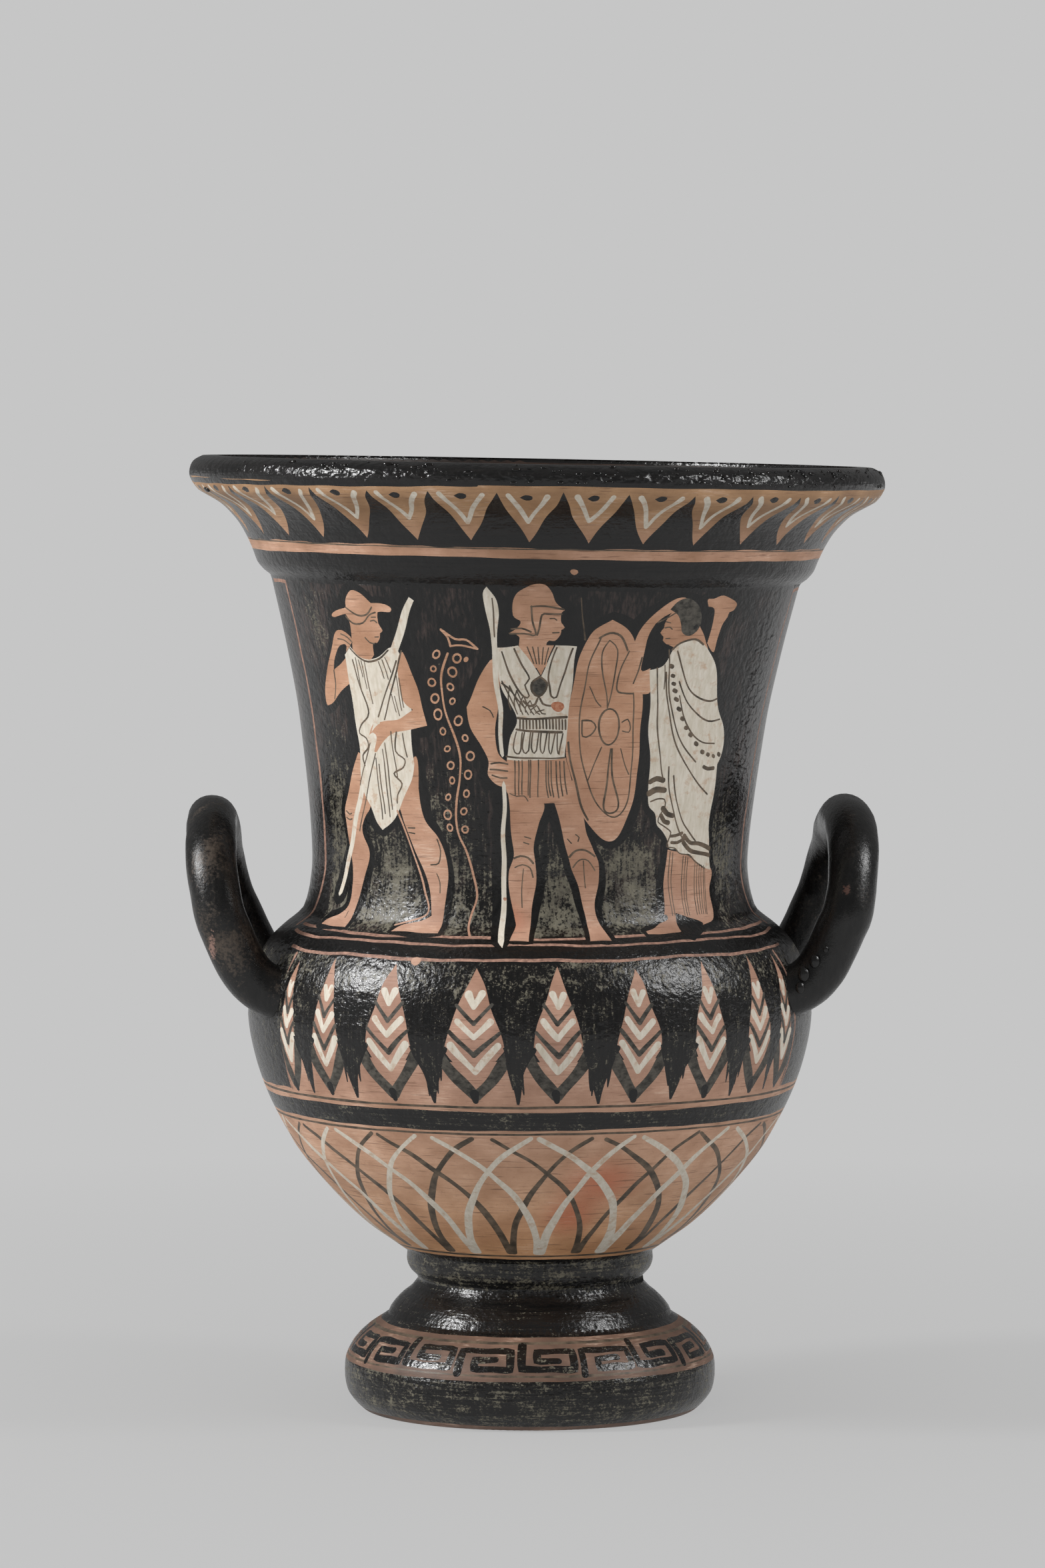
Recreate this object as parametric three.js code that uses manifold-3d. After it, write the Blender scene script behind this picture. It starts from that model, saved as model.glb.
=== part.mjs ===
// Terracotta krater: a wheel-thrown clay vessel with a tall neck, two loop handles and a moulded foot.
// Millimetres, +Z up. The foot stands on z = 0 and is centred on the Z axis; the handles are at +X and -X.
import * as THREE from 'three';
import { mergeVertices } from 'three/addons/utils/BufferGeometryUtils.js';
import Module from 'manifold-3d';

const wasm = await Module();
wasm.setup();

// Heights of the stretches, from the foot up.
const FOOT_EDGE_HEIGHT = 39.5;
const FOOT_CONE_HEIGHT = 15;
const STEM_RING_HEIGHT = 12.5;
const BOWL_HEIGHT = 98;
const SHOULDER_HEIGHT = 67;
const NECK_HEIGHT = 118.5;
const COLLAR_HEIGHT = 12.5;
const FLARE_HEIGHT = 22.5;
const LIP_HEIGHT = 14.5;

// Outer radii where the stretches meet.
const FOOT_REST_RADIUS = 74.5;
const FOOT_RADIUS = 78.5;
const FOOT_TOP_RADIUS = 60;
const WAIST_RADIUS = 47.2;
const STEM_RING_RADIUS = 52.2;
const BELLY_RADIUS = 119;
const NECK_RADIUS = 91.9;
const NECK_TOP_RADIUS = 111.4;
const COLLAR_RADIUS = 120;
const FLARE_RADIUS = 142.4;
const LIP_RADIUS = 146.3;

// The clay: the wall all round, the floor under the bowl, the ring the foot stands on and the flat on the lip.
const WALL = 8;
const FLOOR_THICKNESS = 16;
const FOOT_RING_WIDTH = 14.5;
const LIP_EDGE_ROUNDING = 5.3;
const LIP_FLAT_WIDTH = 7;

// Loop handles, each bent from one roll of clay.
const HANDLE_DIAMETER = 21;
const HANDLE_SPREAD = 90;
const HANDLE_REACH = 134;
const HANDLE_ROOT_ABOVE_BELLY = 9;
const HANDLE_RISE = 76;
const HANDLE_ARCH_HEIGHT = 34;
const REAR_LEG_INSET = 5;

// The neck was fired leaning: its tilt in radians, and the height over which the tilt sets in.
const NECK_LEAN = 0.0192;
const LEAN_LENGTH = 60;

// Fineness of the facets.
const ROUND_SEGMENTS = 44;
const HANDLE_SIDES = 12;
const HANDLE_STEPS = 30;

const MIN_STEP = 0.01;

// How far a cutting solid runs past the clay it cuts.
const OVERCUT = 20;

const footTopZ = FOOT_EDGE_HEIGHT;
const waistZ = footTopZ + FOOT_CONE_HEIGHT;
const bowlZ = waistZ + STEM_RING_HEIGHT;
const bellyZ = bowlZ + BOWL_HEIGHT;
const neckZ = bellyZ + SHOULDER_HEIGHT;
const neckTopZ = neckZ + NECK_HEIGHT;
const collarZ = neckTopZ + COLLAR_HEIGHT;
const flareZ = collarZ + FLARE_HEIGHT;
const topZ = flareZ + LIP_HEIGHT;
const lipFlatRadius = LIP_RADIUS - LIP_EDGE_ROUNDING;

// A smooth stretch of the profile. Shares run from 0 to 1, first from one radius to the other, then up.
function stretch(fromRadius, toRadius, fromZ, toZ, shares, count) {
  const points = shares.map(([out, up]) => new THREE.Vector2(
    THREE.MathUtils.lerp(fromRadius, toRadius, out),
    THREE.MathUtils.lerp(fromZ, toZ, up),
  ));
  return new THREE.SplineCurve(points).getPoints(count);
}

function footEdge() {
  const swell = FOOT_RADIUS - FOOT_REST_RADIUS;
  const lowerEdge = [
    new THREE.Vector2(FOOT_REST_RADIUS, 0),
    new THREE.Vector2(FOOT_REST_RADIUS + swell * 0.5, FOOT_EDGE_HEIGHT * 0.13),
  ];
  const upperEdge = stretch(FOOT_RADIUS, FOOT_TOP_RADIUS, 0, footTopZ, [
    [0.04, 0.29], [0, 0.41], [0.03, 0.54], [0.2, 0.7], [0.51, 0.85], [1, 1],
  ], 7);
  return [...lowerEdge, ...upperEdge];
}

function footCone() {
  return stretch(FOOT_TOP_RADIUS, WAIST_RADIUS, footTopZ, waistZ, [
    [0.05, 0.14], [0.22, 0.34], [0.46, 0.55], [0.75, 0.74], [1, 1],
  ], 4);
}

function stemRing() {
  return stretch(WAIST_RADIUS, STEM_RING_RADIUS, waistZ, bowlZ, [
    [0.1, 0.12], [0.68, 0.34], [0.97, 0.6], [0.97, 0.84],
  ], 4);
}

function bowlWall(count) {
  return stretch(STEM_RING_RADIUS, BELLY_RADIUS, bowlZ, bellyZ, [
    [0.02, 0.01], [0.13, 0.063], [0.25, 0.122], [0.39, 0.209], [0.548, 0.325], [0.686, 0.443],
    [0.786, 0.559], [0.87, 0.673], [0.935, 0.79], [0.979, 0.905], [1, 1],
  ], count);
}

function shoulder(count) {
  return stretch(BELLY_RADIUS, NECK_RADIUS, bellyZ, neckZ, [
    [0.005, 0.1], [0.09, 0.313], [0.295, 0.485], [0.535, 0.587], [0.756, 0.657], [0.867, 0.704],
    [0.934, 0.788], [0.974, 0.872], [1, 1],
  ], count);
}

function neckWall(count) {
  return stretch(NECK_RADIUS, NECK_TOP_RADIUS, neckZ, neckTopZ, [
    [0.041, 0.118], [0.133, 0.261], [0.246, 0.403], [0.374, 0.546], [0.549, 0.689], [0.744, 0.831], [1, 1],
  ], count);
}

function collar() {
  return stretch(NECK_TOP_RADIUS, COLLAR_RADIUS, neckTopZ, collarZ, [
    [0.35, 0.17], [0.66, 0.42], [0.79, 0.64], [1, 1],
  ], 4);
}

function flare(count) {
  return stretch(COLLAR_RADIUS, FLARE_RADIUS, collarZ, flareZ, [
    [0.075, 0.15], [0.24, 0.42], [0.48, 0.68], [0.64, 0.8], [0.82, 0.9], [1, 1],
  ], count);
}

function lip() {
  const round = stretch(FLARE_RADIUS, LIP_RADIUS, flareZ, topZ, [
    [0.54, 0.17], [1, 0.41], [0.95, 0.66], [0.54, 0.86],
  ], 4);
  return [...round, new THREE.Vector2(lipFlatRadius, topZ)];
}

// The same profile moved inwards by the thickness of the wall.
function insideOf(profile, thickness) {
  return profile.map((point, i) => {
    const before = profile[Math.max(i - 1, 0)];
    const after = profile[Math.min(i + 1, profile.length - 1)];
    const along = after.clone().sub(before).normalize();
    return new THREE.Vector2(point.x - along.y * thickness, point.y + along.x * thickness);
  });
}

function solid(geometry) {
  geometry.deleteAttribute('normal');
  geometry.deleteAttribute('uv');
  const merged = mergeVertices(geometry, 1e-3);
  return new wasm.Manifold(new wasm.Mesh({
    numProp: 3,
    vertProperties: new Float32Array(merged.attributes.position.array),
    triVerts: new Uint32Array(merged.index.array),
  }));
}

// Above the belly the turned clay is tilted towards +X, gently at first and fully from the neck up.
function leanOver(geometry) {
  const position = geometry.attributes.position;
  const start = neckZ - LEAN_LENGTH / 2;
  for (let i = 0; i < position.count; i += 1) {
    const x = position.getX(i);
    const z = position.getZ(i);
    const tilt = NECK_LEAN * THREE.MathUtils.smoothstep(z, start, start + LEAN_LENGTH);
    position.setX(i, x + tilt * (z - neckZ));
    position.setZ(i, z - tilt * x);
  }
}

// A turned solid on the Z axis from a profile that runs from the axis back to the axis, upwards outside.
function turned(profile) {
  const distinct = profile.filter((point, i) => i === 0 || point.distanceTo(profile[i - 1]) > MIN_STEP);
  const geometry = new THREE.LatheGeometry(distinct, ROUND_SEGMENTS);
  geometry.rotateX(Math.PI / 2);
  leanOver(geometry);
  return solid(geometry);
}

function outside() {
  const profile = [
    ...footEdge(), ...footCone(), ...stemRing(), ...bowlWall(10), ...shoulder(9), ...neckWall(6),
    ...collar(), ...flare(5), ...lip(),
  ];
  const onAxis = (z) => new THREE.Vector2(0, z);
  return turned([onAxis(0), ...profile, onAxis(topZ)]);
}

function bowlHollow() {
  const floorZ = bowlZ - WALL + FLOOR_THICKNESS;
  const wall = insideOf([...bowlWall(7), ...shoulder(6).slice(1), ...neckWall(3).slice(1)], WALL)
    .filter((point) => point.y > floorZ + WALL);
  const lipInnerRadius = lipFlatRadius - LIP_FLAT_WIDTH;
  const mouth = [
    new THREE.Vector2(COLLAR_RADIUS - WALL * 1.1, collarZ),
    new THREE.Vector2(THREE.MathUtils.lerp(COLLAR_RADIUS, FLARE_RADIUS, 0.5) - WALL, flareZ - WALL * 0.4),
    new THREE.Vector2(lipInnerRadius, topZ - LIP_HEIGHT * 0.15),
    new THREE.Vector2(lipInnerRadius, topZ + OVERCUT),
  ];
  const floor = [
    new THREE.Vector2(0, floorZ),
    new THREE.Vector2(wall[0].x * 0.5, floorZ + WALL * 0.15),
    new THREE.Vector2(wall[0].x * 0.8, floorZ + WALL * 0.6),
  ];
  return turned([...floor, ...wall, ...mouth, new THREE.Vector2(0, topZ + OVERCUT)]);
}

function footHollow() {
  const ceilingZ = bowlZ - WALL;
  const innerRadius = FOOT_REST_RADIUS - FOOT_RING_WIDTH;
  const crownRadius = WAIST_RADIUS - WALL * 1.25;
  const side = stretch(innerRadius, crownRadius, 0, waistZ, [
    [0, 0], [0.09, 0.14], [0.27, 0.42], [0.58, 0.68], [1, 0.88],
  ], 5);
  const profile = [
    new THREE.Vector2(0, -OVERCUT),
    new THREE.Vector2(innerRadius, -OVERCUT),
    ...side,
    new THREE.Vector2(crownRadius * 0.55, THREE.MathUtils.lerp(waistZ, ceilingZ, 0.7)),
    new THREE.Vector2(0, ceilingZ),
  ];
  return turned(profile);
}

// One leg of a handle, from inside the belly's wall up to where the arch begins.
function legPoints(side, y, inset) {
  const rootZ = bellyZ + HANDLE_ROOT_ABOVE_BELLY;
  const rootX = Math.sqrt(BELLY_RADIUS ** 2 - y ** 2) - WALL * 0.6;
  const archZ = rootZ + HANDLE_RISE - HANDLE_ARCH_HEIGHT;
  return [[0, 0], [0.38, 0.27], [0.66, 0.52], [0.86, 0.76], [0.97, 1]].map(([out, up]) => new THREE.Vector3(
    side * (THREE.MathUtils.lerp(rootX, HANDLE_REACH, out) - inset * Math.sin(Math.PI * (0.25 + 0.5 * up))),
    y,
    THREE.MathUtils.lerp(rootZ, archZ, up),
  ));
}

function handle(side) {
  const half = HANDLE_SPREAD / 2;
  const rootZ = bellyZ + HANDLE_ROOT_ABOVE_BELLY;
  const archZ = rootZ + HANDLE_RISE - HANDLE_ARCH_HEIGHT;
  const arch = [30, 60, 90, 120, 150].map((degrees) => {
    const turn = THREE.MathUtils.degToRad(degrees);
    const towardRear = (1 - Math.cos(turn)) / 2;
    return new THREE.Vector3(
      side * (HANDLE_REACH - REAR_LEG_INSET * 0.5 * towardRear),
      -half * Math.cos(turn),
      archZ + HANDLE_ARCH_HEIGHT * Math.sin(turn),
    );
  });
  const front = legPoints(side, -half, 0);
  const rear = legPoints(side, half, REAR_LEG_INSET);
  const path = new THREE.CatmullRomCurve3([...front, ...arch, ...rear.reverse()]);
  const section = new THREE.Shape();
  section.absarc(0, 0, HANDLE_DIAMETER / 2, 0, Math.PI * 2);
  return solid(new THREE.ExtrudeGeometry(section, {
    steps: HANDLE_STEPS,
    curveSegments: HANDLE_SIDES / 2,
    extrudePath: path,
  }));
}

function kraterGeometry() {
  const body = outside().add(handle(-1)).add(handle(1)).subtract(bowlHollow()).subtract(footHollow());
  const mesh = body.getMesh();
  const geometry = new THREE.BufferGeometry();
  geometry.setAttribute('position', new THREE.BufferAttribute(new Float32Array(mesh.vertProperties), 3));
  geometry.setIndex(new THREE.BufferAttribute(new Uint32Array(mesh.triVerts), 1));
  geometry.computeVertexNormals();
  return geometry;
}

const terracotta = new THREE.MeshStandardMaterial({ color: 0x2c2a2a, roughness: 0.35, metalness: 0 });

const krater = new THREE.Mesh(kraterGeometry(), terracotta);
krater.name = 'krater';

const vessel = new THREE.Group();
vessel.add(krater);

export default vessel;
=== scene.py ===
# Terracotta krater, thrown on the wheel, with black, white and thinned slip around a picture left in clay.
import math
import random

import bmesh
import bpy
import numpy as np
from mathutils import Matrix, Vector
from mathutils.geometry import delaunay_2d_cdt


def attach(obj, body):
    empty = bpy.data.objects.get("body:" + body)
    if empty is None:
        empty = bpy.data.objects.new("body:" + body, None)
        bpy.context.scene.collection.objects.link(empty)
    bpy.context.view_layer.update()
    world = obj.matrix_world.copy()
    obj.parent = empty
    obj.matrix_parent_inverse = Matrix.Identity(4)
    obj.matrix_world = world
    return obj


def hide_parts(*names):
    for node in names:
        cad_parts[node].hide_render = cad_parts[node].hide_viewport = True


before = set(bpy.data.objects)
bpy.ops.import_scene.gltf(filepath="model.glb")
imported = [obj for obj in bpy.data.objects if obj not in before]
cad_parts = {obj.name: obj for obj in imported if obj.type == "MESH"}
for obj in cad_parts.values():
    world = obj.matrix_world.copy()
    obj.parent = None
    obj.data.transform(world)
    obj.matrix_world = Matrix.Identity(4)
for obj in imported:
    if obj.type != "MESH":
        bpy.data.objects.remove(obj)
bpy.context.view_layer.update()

MM = 0.001

# Heights of the stretches, from the foot up.
FOOT_EDGE_HEIGHT = 39.5
FOOT_CONE_HEIGHT = 15
STEM_RING_HEIGHT = 12.5
BOWL_HEIGHT = 98
SHOULDER_HEIGHT = 67
NECK_HEIGHT = 118.5
COLLAR_HEIGHT = 12.5
FLARE_HEIGHT = 22.5
LIP_HEIGHT = 14.5

# Outer radii where the stretches meet.
FOOT_REST_RADIUS = 70.8
FOOT_RADIUS = 78.5
FOOT_TOP_RADIUS = 60
WAIST_RADIUS = 47.2
STEM_RING_RADIUS = 52.2
BELLY_RADIUS = 119
NECK_RADIUS = 91.9
NECK_TOP_RADIUS = 111.4
COLLAR_RADIUS = 120
FLARE_RADIUS = 142.4
LIP_RADIUS = 146.3

# The clay wall, the floor of the bowl, the ring the foot stands on and the flat on the lip.
WALL = 8
FLOOR_THICKNESS = 16
FOOT_RING_WIDTH = 10.8
LIP_EDGE_ROUNDING = 5.3
LIP_FLAT_WIDTH = 7

# Loop handles.
HANDLE_DIAMETER = 21
HANDLE_SPREAD = 90
HANDLE_REACH = 134
HANDLE_ROOT_ABOVE_BELLY = 9
HANDLE_RISE = 75
HANDLE_ARCH_HEIGHT = 34
ARCH_LEAN = 2.4
REAR_LEG_INSET = 5

# The neck leans towards +X.
NECK_LEAN = 0.0192
LEAN_LENGTH = 60

# The picture's middle, as an angle from the front of the krater.
PICTURE_TURN = math.radians(-2)

FOOT_TOP_Z = FOOT_EDGE_HEIGHT
WAIST_Z = FOOT_TOP_Z + FOOT_CONE_HEIGHT
BOWL_Z = WAIST_Z + STEM_RING_HEIGHT
BELLY_Z = BOWL_Z + BOWL_HEIGHT
NECK_Z = BELLY_Z + SHOULDER_HEIGHT
NECK_TOP_Z = NECK_Z + NECK_HEIGHT
COLLAR_Z = NECK_TOP_Z + COLLAR_HEIGHT
FLARE_Z = COLLAR_Z + FLARE_HEIGHT
TOP_Z = FLARE_Z + LIP_HEIGHT


# Profile of the turned clay

PROFILE_STEP = 0.3
EDGE_SOFTNESS = 0.55


def stretch(start, end, shares):
    """Points of the profile between two of its corners. Shares run from 0 to 1, first outwards, then up."""
    (r0, z0), (r1, z1) = start, end
    return [(r0 + (r1 - r0) * out, z0 + (z1 - z0) * up) for out, up in shares]


def between(a, b, c, d, t):
    """The point a share of the way from b to c on a smooth curve through all four."""
    bend = (2 * a - 5 * b + 4 * c - d) * t * t + (3 * b - a - 3 * c + d) * t ** 3
    return 0.5 * (2 * b + (c - a) * t + bend)


def smooth_run(points, step):
    """A smooth line through the points, with a point about every step."""
    p = np.array([points[0], *points, points[-1]], float)
    run = [p[1]]
    for a, b, c, d in zip(p[:-3], p[1:-2], p[2:-1], p[3:]):
        count = max(1, math.ceil(np.hypot(*(c - b)) / step))
        run += [between(a, b, c, d, k / count) for k in range(1, count + 1)]
    return np.array(run)


def outer_corners():
    """The outside of the krater from its resting edge to the lip, as smooth runs that meet in creases."""
    waist = (WAIST_RADIUS, WAIST_Z)
    foot_top = (FOOT_TOP_RADIUS, FOOT_TOP_Z)
    ring_top = (STEM_RING_RADIUS, BOWL_Z)
    belly = (BELLY_RADIUS, BELLY_Z)
    neck = (NECK_RADIUS, NECK_Z)
    neck_top = (NECK_TOP_RADIUS, NECK_TOP_Z)
    collar_top = (COLLAR_RADIUS, COLLAR_Z)
    flare_top = (FLARE_RADIUS, FLARE_Z)
    swell = FOOT_RADIUS - FOOT_REST_RADIUS
    foot = [
        (FOOT_REST_RADIUS, 0),
        (FOOT_REST_RADIUS + swell * 0.4, FOOT_EDGE_HEIGHT * 0.07),
        (FOOT_REST_RADIUS + swell * 0.82, FOOT_EDGE_HEIGHT * 0.18),
    ]
    foot += stretch((FOOT_RADIUS, 0), foot_top, [
        (0.01, 0.3), (0, 0.41), (0.03, 0.54), (0.2, 0.7), (0.51, 0.85), (1, 1),
    ])
    cone = [foot_top] + stretch(foot_top, waist,
                                [(0.05, 0.14), (0.22, 0.34), (0.46, 0.55), (0.75, 0.74), (1, 1)])
    ring = [waist] + stretch(waist, ring_top,
                             [(0.1, 0.12), (0.68, 0.34), (0.97, 0.6), (0.97, 0.84), (0.9, 1)])
    vessel = stretch(ring_top, belly, [
        (0, 0), (0.02, 0.01), (0.13, 0.063), (0.25, 0.122), (0.39, 0.209), (0.548, 0.325), (0.686, 0.443),
        (0.786, 0.559), (0.87, 0.673), (0.935, 0.79), (0.979, 0.905), (1, 1),
    ])
    vessel += stretch(belly, neck, [
        (0.005, 0.1), (0.09, 0.313), (0.295, 0.485), (0.535, 0.587), (0.756, 0.657), (0.867, 0.704),
        (0.934, 0.788), (0.974, 0.872), (1, 1),
    ])
    vessel += stretch(neck, neck_top, [
        (0.041, 0.118), (0.133, 0.261), (0.246, 0.403), (0.374, 0.546), (0.549, 0.689), (0.744, 0.831),
        (1, 1),
    ])
    collar = [neck_top] + stretch(neck_top, collar_top, [(0.35, 0.17), (0.66, 0.42), (0.79, 0.64), (1, 1)])
    flare = [collar_top] + stretch(collar_top, flare_top, [
        (0.075, 0.15), (0.24, 0.42), (0.48, 0.68), (0.64, 0.8), (0.82, 0.9), (1, 1),
    ])
    lip = [flare_top] + stretch(flare_top, (LIP_RADIUS, TOP_Z),
                                [(0.54, 0.17), (1, 0.41), (0.95, 0.66), (0.54, 0.86)])
    lip += [(LIP_RADIUS - LIP_EDGE_ROUNDING, TOP_Z)]
    return foot, cone, ring, vessel, collar, flare, lip


def underside():
    """The foot's hollow, from its middle down to the inner edge of the ring it stands on."""
    ceiling = BOWL_Z - WALL
    inner = (FOOT_REST_RADIUS - FOOT_RING_WIDTH, 0)
    crown = (WAIST_RADIUS - WALL * 1.25, WAIST_Z)
    side = stretch(inner, crown, [(0, 0), (0.09, 0.14), (0.27, 0.42), (0.58, 0.68), (1, 0.88)])
    dome = (crown[0] * 0.55, WAIST_Z + (ceiling - WAIST_Z) * 0.7)
    return [(0, ceiling), dome, *reversed(side)]


def bowl_inside(vessel):
    """The inside, one wall's thickness within the outside, from the lip down to the middle of the floor."""
    floor = BOWL_Z - WALL + FLOOR_THICKNESS
    outer = smooth_run(vessel, WALL)
    along = np.gradient(outer, axis=0)
    along /= np.hypot(along[:, 0], along[:, 1])[:, None]
    inner = outer + np.stack([-along[:, 1], along[:, 0]], 1) * WALL
    inner = inner[inner[:, 1] > floor + WALL]
    edge = LIP_RADIUS - LIP_EDGE_ROUNDING - LIP_FLAT_WIDTH
    mouth = [
        (edge, TOP_Z),
        (edge, TOP_Z - LIP_HEIGHT * 0.15),
        ((COLLAR_RADIUS + FLARE_RADIUS) / 2 - WALL, FLARE_Z - WALL * 0.4),
        (COLLAR_RADIUS - WALL * 1.1, COLLAR_Z),
    ]
    low = inner[0][0]
    base = [(low * 0.8, floor + WALL * 0.6), (low * 0.5, floor + WALL * 0.15), (0, floor)]
    return [*mouth, *[tuple(p) for p in inner[::-1]], *base]


def profile_line():
    """The whole profile as one dense line of radius and height, its edges softened as by a wet sponge."""
    outer = outer_corners()
    vessel = outer[3]
    runs = [underside(), [underside()[-1], outer[0][0]], *outer, [outer[-1][-1], bowl_inside(vessel)[0]]]
    runs.append(bowl_inside(vessel))
    line = np.vstack([smooth_run(run, PROFILE_STEP) for run in runs])
    keep = np.hypot(*np.diff(line, axis=0, prepend=line[:1] - 1).T) > 1e-4
    line = line[keep]
    reach = math.ceil(3 * EDGE_SOFTNESS / PROFILE_STEP)
    weight = np.exp(-0.5 * (np.arange(-reach, reach + 1) * PROFILE_STEP / EDGE_SOFTNESS) ** 2)
    weight /= weight.sum()
    ends = line[:1].repeat(reach, 0), line[-1:].repeat(reach, 0)
    padded = np.vstack([ends[0], line, ends[1]])
    soft = np.stack([np.convolve(padded[:, k], weight, "valid") for k in (0, 1)], 1)
    soft[0], soft[-1] = line[0], line[-1]
    return soft


LINE = profile_line()
ALONG = np.concatenate([[0], np.cumsum(np.hypot(*np.diff(LINE, axis=0).T))])
LENGTH = ALONG[-1]


def station(radius, z):
    """How far along the profile the point nearest to this radius and height lies."""
    return ALONG[np.argmin(np.hypot(LINE[:, 0] - radius, LINE[:, 1] - z))]


REST_EDGE = station(FOOT_REST_RADIUS, 0)
LIP_EDGE = station(LIP_RADIUS - LIP_EDGE_ROUNDING, TOP_Z)
RIM_INSIDE = station(LIP_RADIUS - LIP_EDGE_ROUNDING - LIP_FLAT_WIDTH, TOP_Z)

OUTSIDE = (ALONG >= REST_EDGE) & (ALONG <= LIP_EDGE)
OUTSIDE_Z = np.maximum.accumulate(LINE[OUTSIDE, 1]) + np.arange(OUTSIDE.sum()) * 1e-9
OUTSIDE_ALONG = ALONG[OUTSIDE]


def radius_at(along):
    return np.interp(along, ALONG, LINE[:, 0])


def at_height(z):
    """The length along the profile at which the outside reaches a height."""
    return np.interp(z, OUTSIDE_Z, OUTSIDE_ALONG)


def height_at(along):
    return np.interp(along, ALONG, LINE[:, 1])


# Painting, on a flat sheet that is later wrapped round the profile

# The sheet is as wide as a belt of this radius, so that a millimetre across it is about one on the neck.
BELT = 100
HALF_BELT = math.pi * BELT

BLACK = 0
CONTOUR = 1
CLAY = 2
WHITE = 3
THIN = 4
GREY = 5
RUST = 6
INSIDE = 7
BARE = 8
RESERVED = 9

shapes = []
chance = random.Random(7)


def tremor(across, along, amount=0.22):
    """The unsteadiness of a hand with a brush, the same on both edges of the sheet."""
    dx = np.sin(9 * across / BELT + along * 0.31) + np.sin(23 * across / BELT - along * 0.17 + 1.3)
    dy = np.sin(14 * across / BELT + along * 0.23 + 2.1) + np.sin(37 * across / BELT - along * 0.11)
    return across + amount * dx, along + amount * dy


def thickened(points, longest):
    """The same line with points added until none of its steps is longer than this."""
    out = []
    for a, b in zip(points[:-1], points[1:]):
        count = max(1, math.ceil(np.hypot(*(b - a)) / longest))
        out += [a + (b - a) * k / count for k in range(count)]
    return np.array(out + [points[-1]])


def on_sheet(points, belt=BELT, centre=0.0):
    """Turns points across and up on a belt of some radius into points on the sheet."""
    p = np.asarray(points, float)
    across = (centre + p[:, 0]) / belt * BELT + PICTURE_TURN * BELT
    return np.stack([across, at_height(p[:, 1])], 1)


def turned_left(ring):
    """The same ring, run so that it turns to the left."""
    x, y = ring[:, 0], ring[:, 1]
    rightward = np.sum(x * np.roll(y, -1) - y * np.roll(x, -1)) < 0
    return ring[::-1] if rightward else ring


def lay(outline, slip, longest=1.6, shake=0.22):
    """Lays one painted shape on the sheet, and its copies where it crosses the sheet's edge."""
    ring = thickened(np.vstack([outline, outline[:1]]), longest)[:-1]
    ring = turned_left(np.stack(tremor(ring[:, 0], ring[:, 1], shake), 1))
    for shift in (-2 * HALF_BELT, 0, 2 * HALF_BELT):
        moved = ring + (shift, 0)
        if moved[:, 0].max() > -HALF_BELT and moved[:, 0].min() < HALF_BELT:
            shapes.append((moved, slip))


def runs_to_outline(runs, step=1.2):
    """A closed outline from smooth runs that meet in corners. Each run ends where the next one starts."""
    line = []
    for k, run in enumerate(runs):
        following = runs[(k + 1) % len(runs)][0]
        whole = list(run) + [following]
        line += list(smooth_run(whole, step)[:-1])
    return np.array(line)


def fill(slip, *runs, belt=BELT, centre=0.0, **options):
    """Fills the shape that the runs enclose."""
    lay(on_sheet(runs_to_outline(runs), belt, centre), slip, **options)


def brush_edges(line, widths):
    """Both edges of a brush stroke along a line on the sheet, with its true width on the clay."""
    stretchy = np.maximum(radius_at(line[:, 1]), 1) / BELT
    step = np.gradient(line, axis=0)
    true = np.stack([step[:, 0] * stretchy, step[:, 1]], 1)
    true /= np.maximum(np.hypot(true[:, 0], true[:, 1]), 1e-9)[:, None]
    side = np.stack([-true[:, 1] / stretchy, true[:, 0]], 1) * widths[:, None] / 2
    tip = np.stack([true[:, 0] / stretchy, true[:, 1]], 1) * widths[:, None] / 2
    start = [line[0] - tip[0] * math.cos(t) - side[0] * math.sin(t) for t in (-1.0, -0.35, 0.35, 1.0)]
    end = [line[-1] + tip[-1] * math.cos(t) + side[-1] * math.sin(t) for t in (-1.0, -0.35, 0.35, 1.0)]
    return np.vstack([(line - side), end, (line + side)[::-1], start])


def stroke(slip, width, points, end_width=None, belt=BELT, centre=0.0, sharp=False, step=1.5):
    """Draws a brush stroke through points, smooth or with sharp bends."""
    line = thickened(np.array(points, float), step) if sharp else smooth_run(points, step)
    line = on_sheet(line, belt, centre)
    share = np.linspace(0, 1, len(line))
    widths = width + ((end_width if end_width is not None else width) - width) * share
    phase = chance.uniform(0, 6)
    widths = widths * (1 + 0.1 * np.sin(phase + share * len(line) * 0.35))
    outline = brush_edges(line, widths)
    lay(outline, slip, longest=step + 0.5, shake=0.16)


# Lines and fields that run right round, in the order they were painted: slip, heights, how much they waver.
BANDS = (
    (CLAY, -1, 2, 0.35), (CLAY, 21.2, 37.6, 0.35), (THIN, 23, 23.8, 0.25), (THIN, 35.2, 36.1, 0.25),
    (CLAY, 69.2, 128.8, 0.6), (THIN, 70.4, 71.3, 0.25), (THIN, 126.8, 127.7, 0.3), (CLAY, 136.6, 158, 0.6),
    (THIN, 138.3, 139.3, 0.3), (CLAY, 361.6, 366.2, 0.5), (THIN, 365.3, 365.8, 0.3), (CLAY, 367, 391.2, 0.4),
)

bands = []


def band_edges(across, item):
    """The lower and upper edge of a band at places across the sheet."""
    _, low, high, waver, phase = item
    turn = across / BELT
    rise = np.sin(3 * turn + phase) + 0.5 * np.sin(11 * turn + 2 * phase) + 0.35 * np.sin(29 * turn + phase)
    drop = np.sin(4 * turn + 2 * phase) + 0.5 * np.sin(13 * turn + phase) + 0.35 * np.sin(31 * turn)
    return low + waver * 0.5 * rise, high + waver * 0.5 * drop


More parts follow.
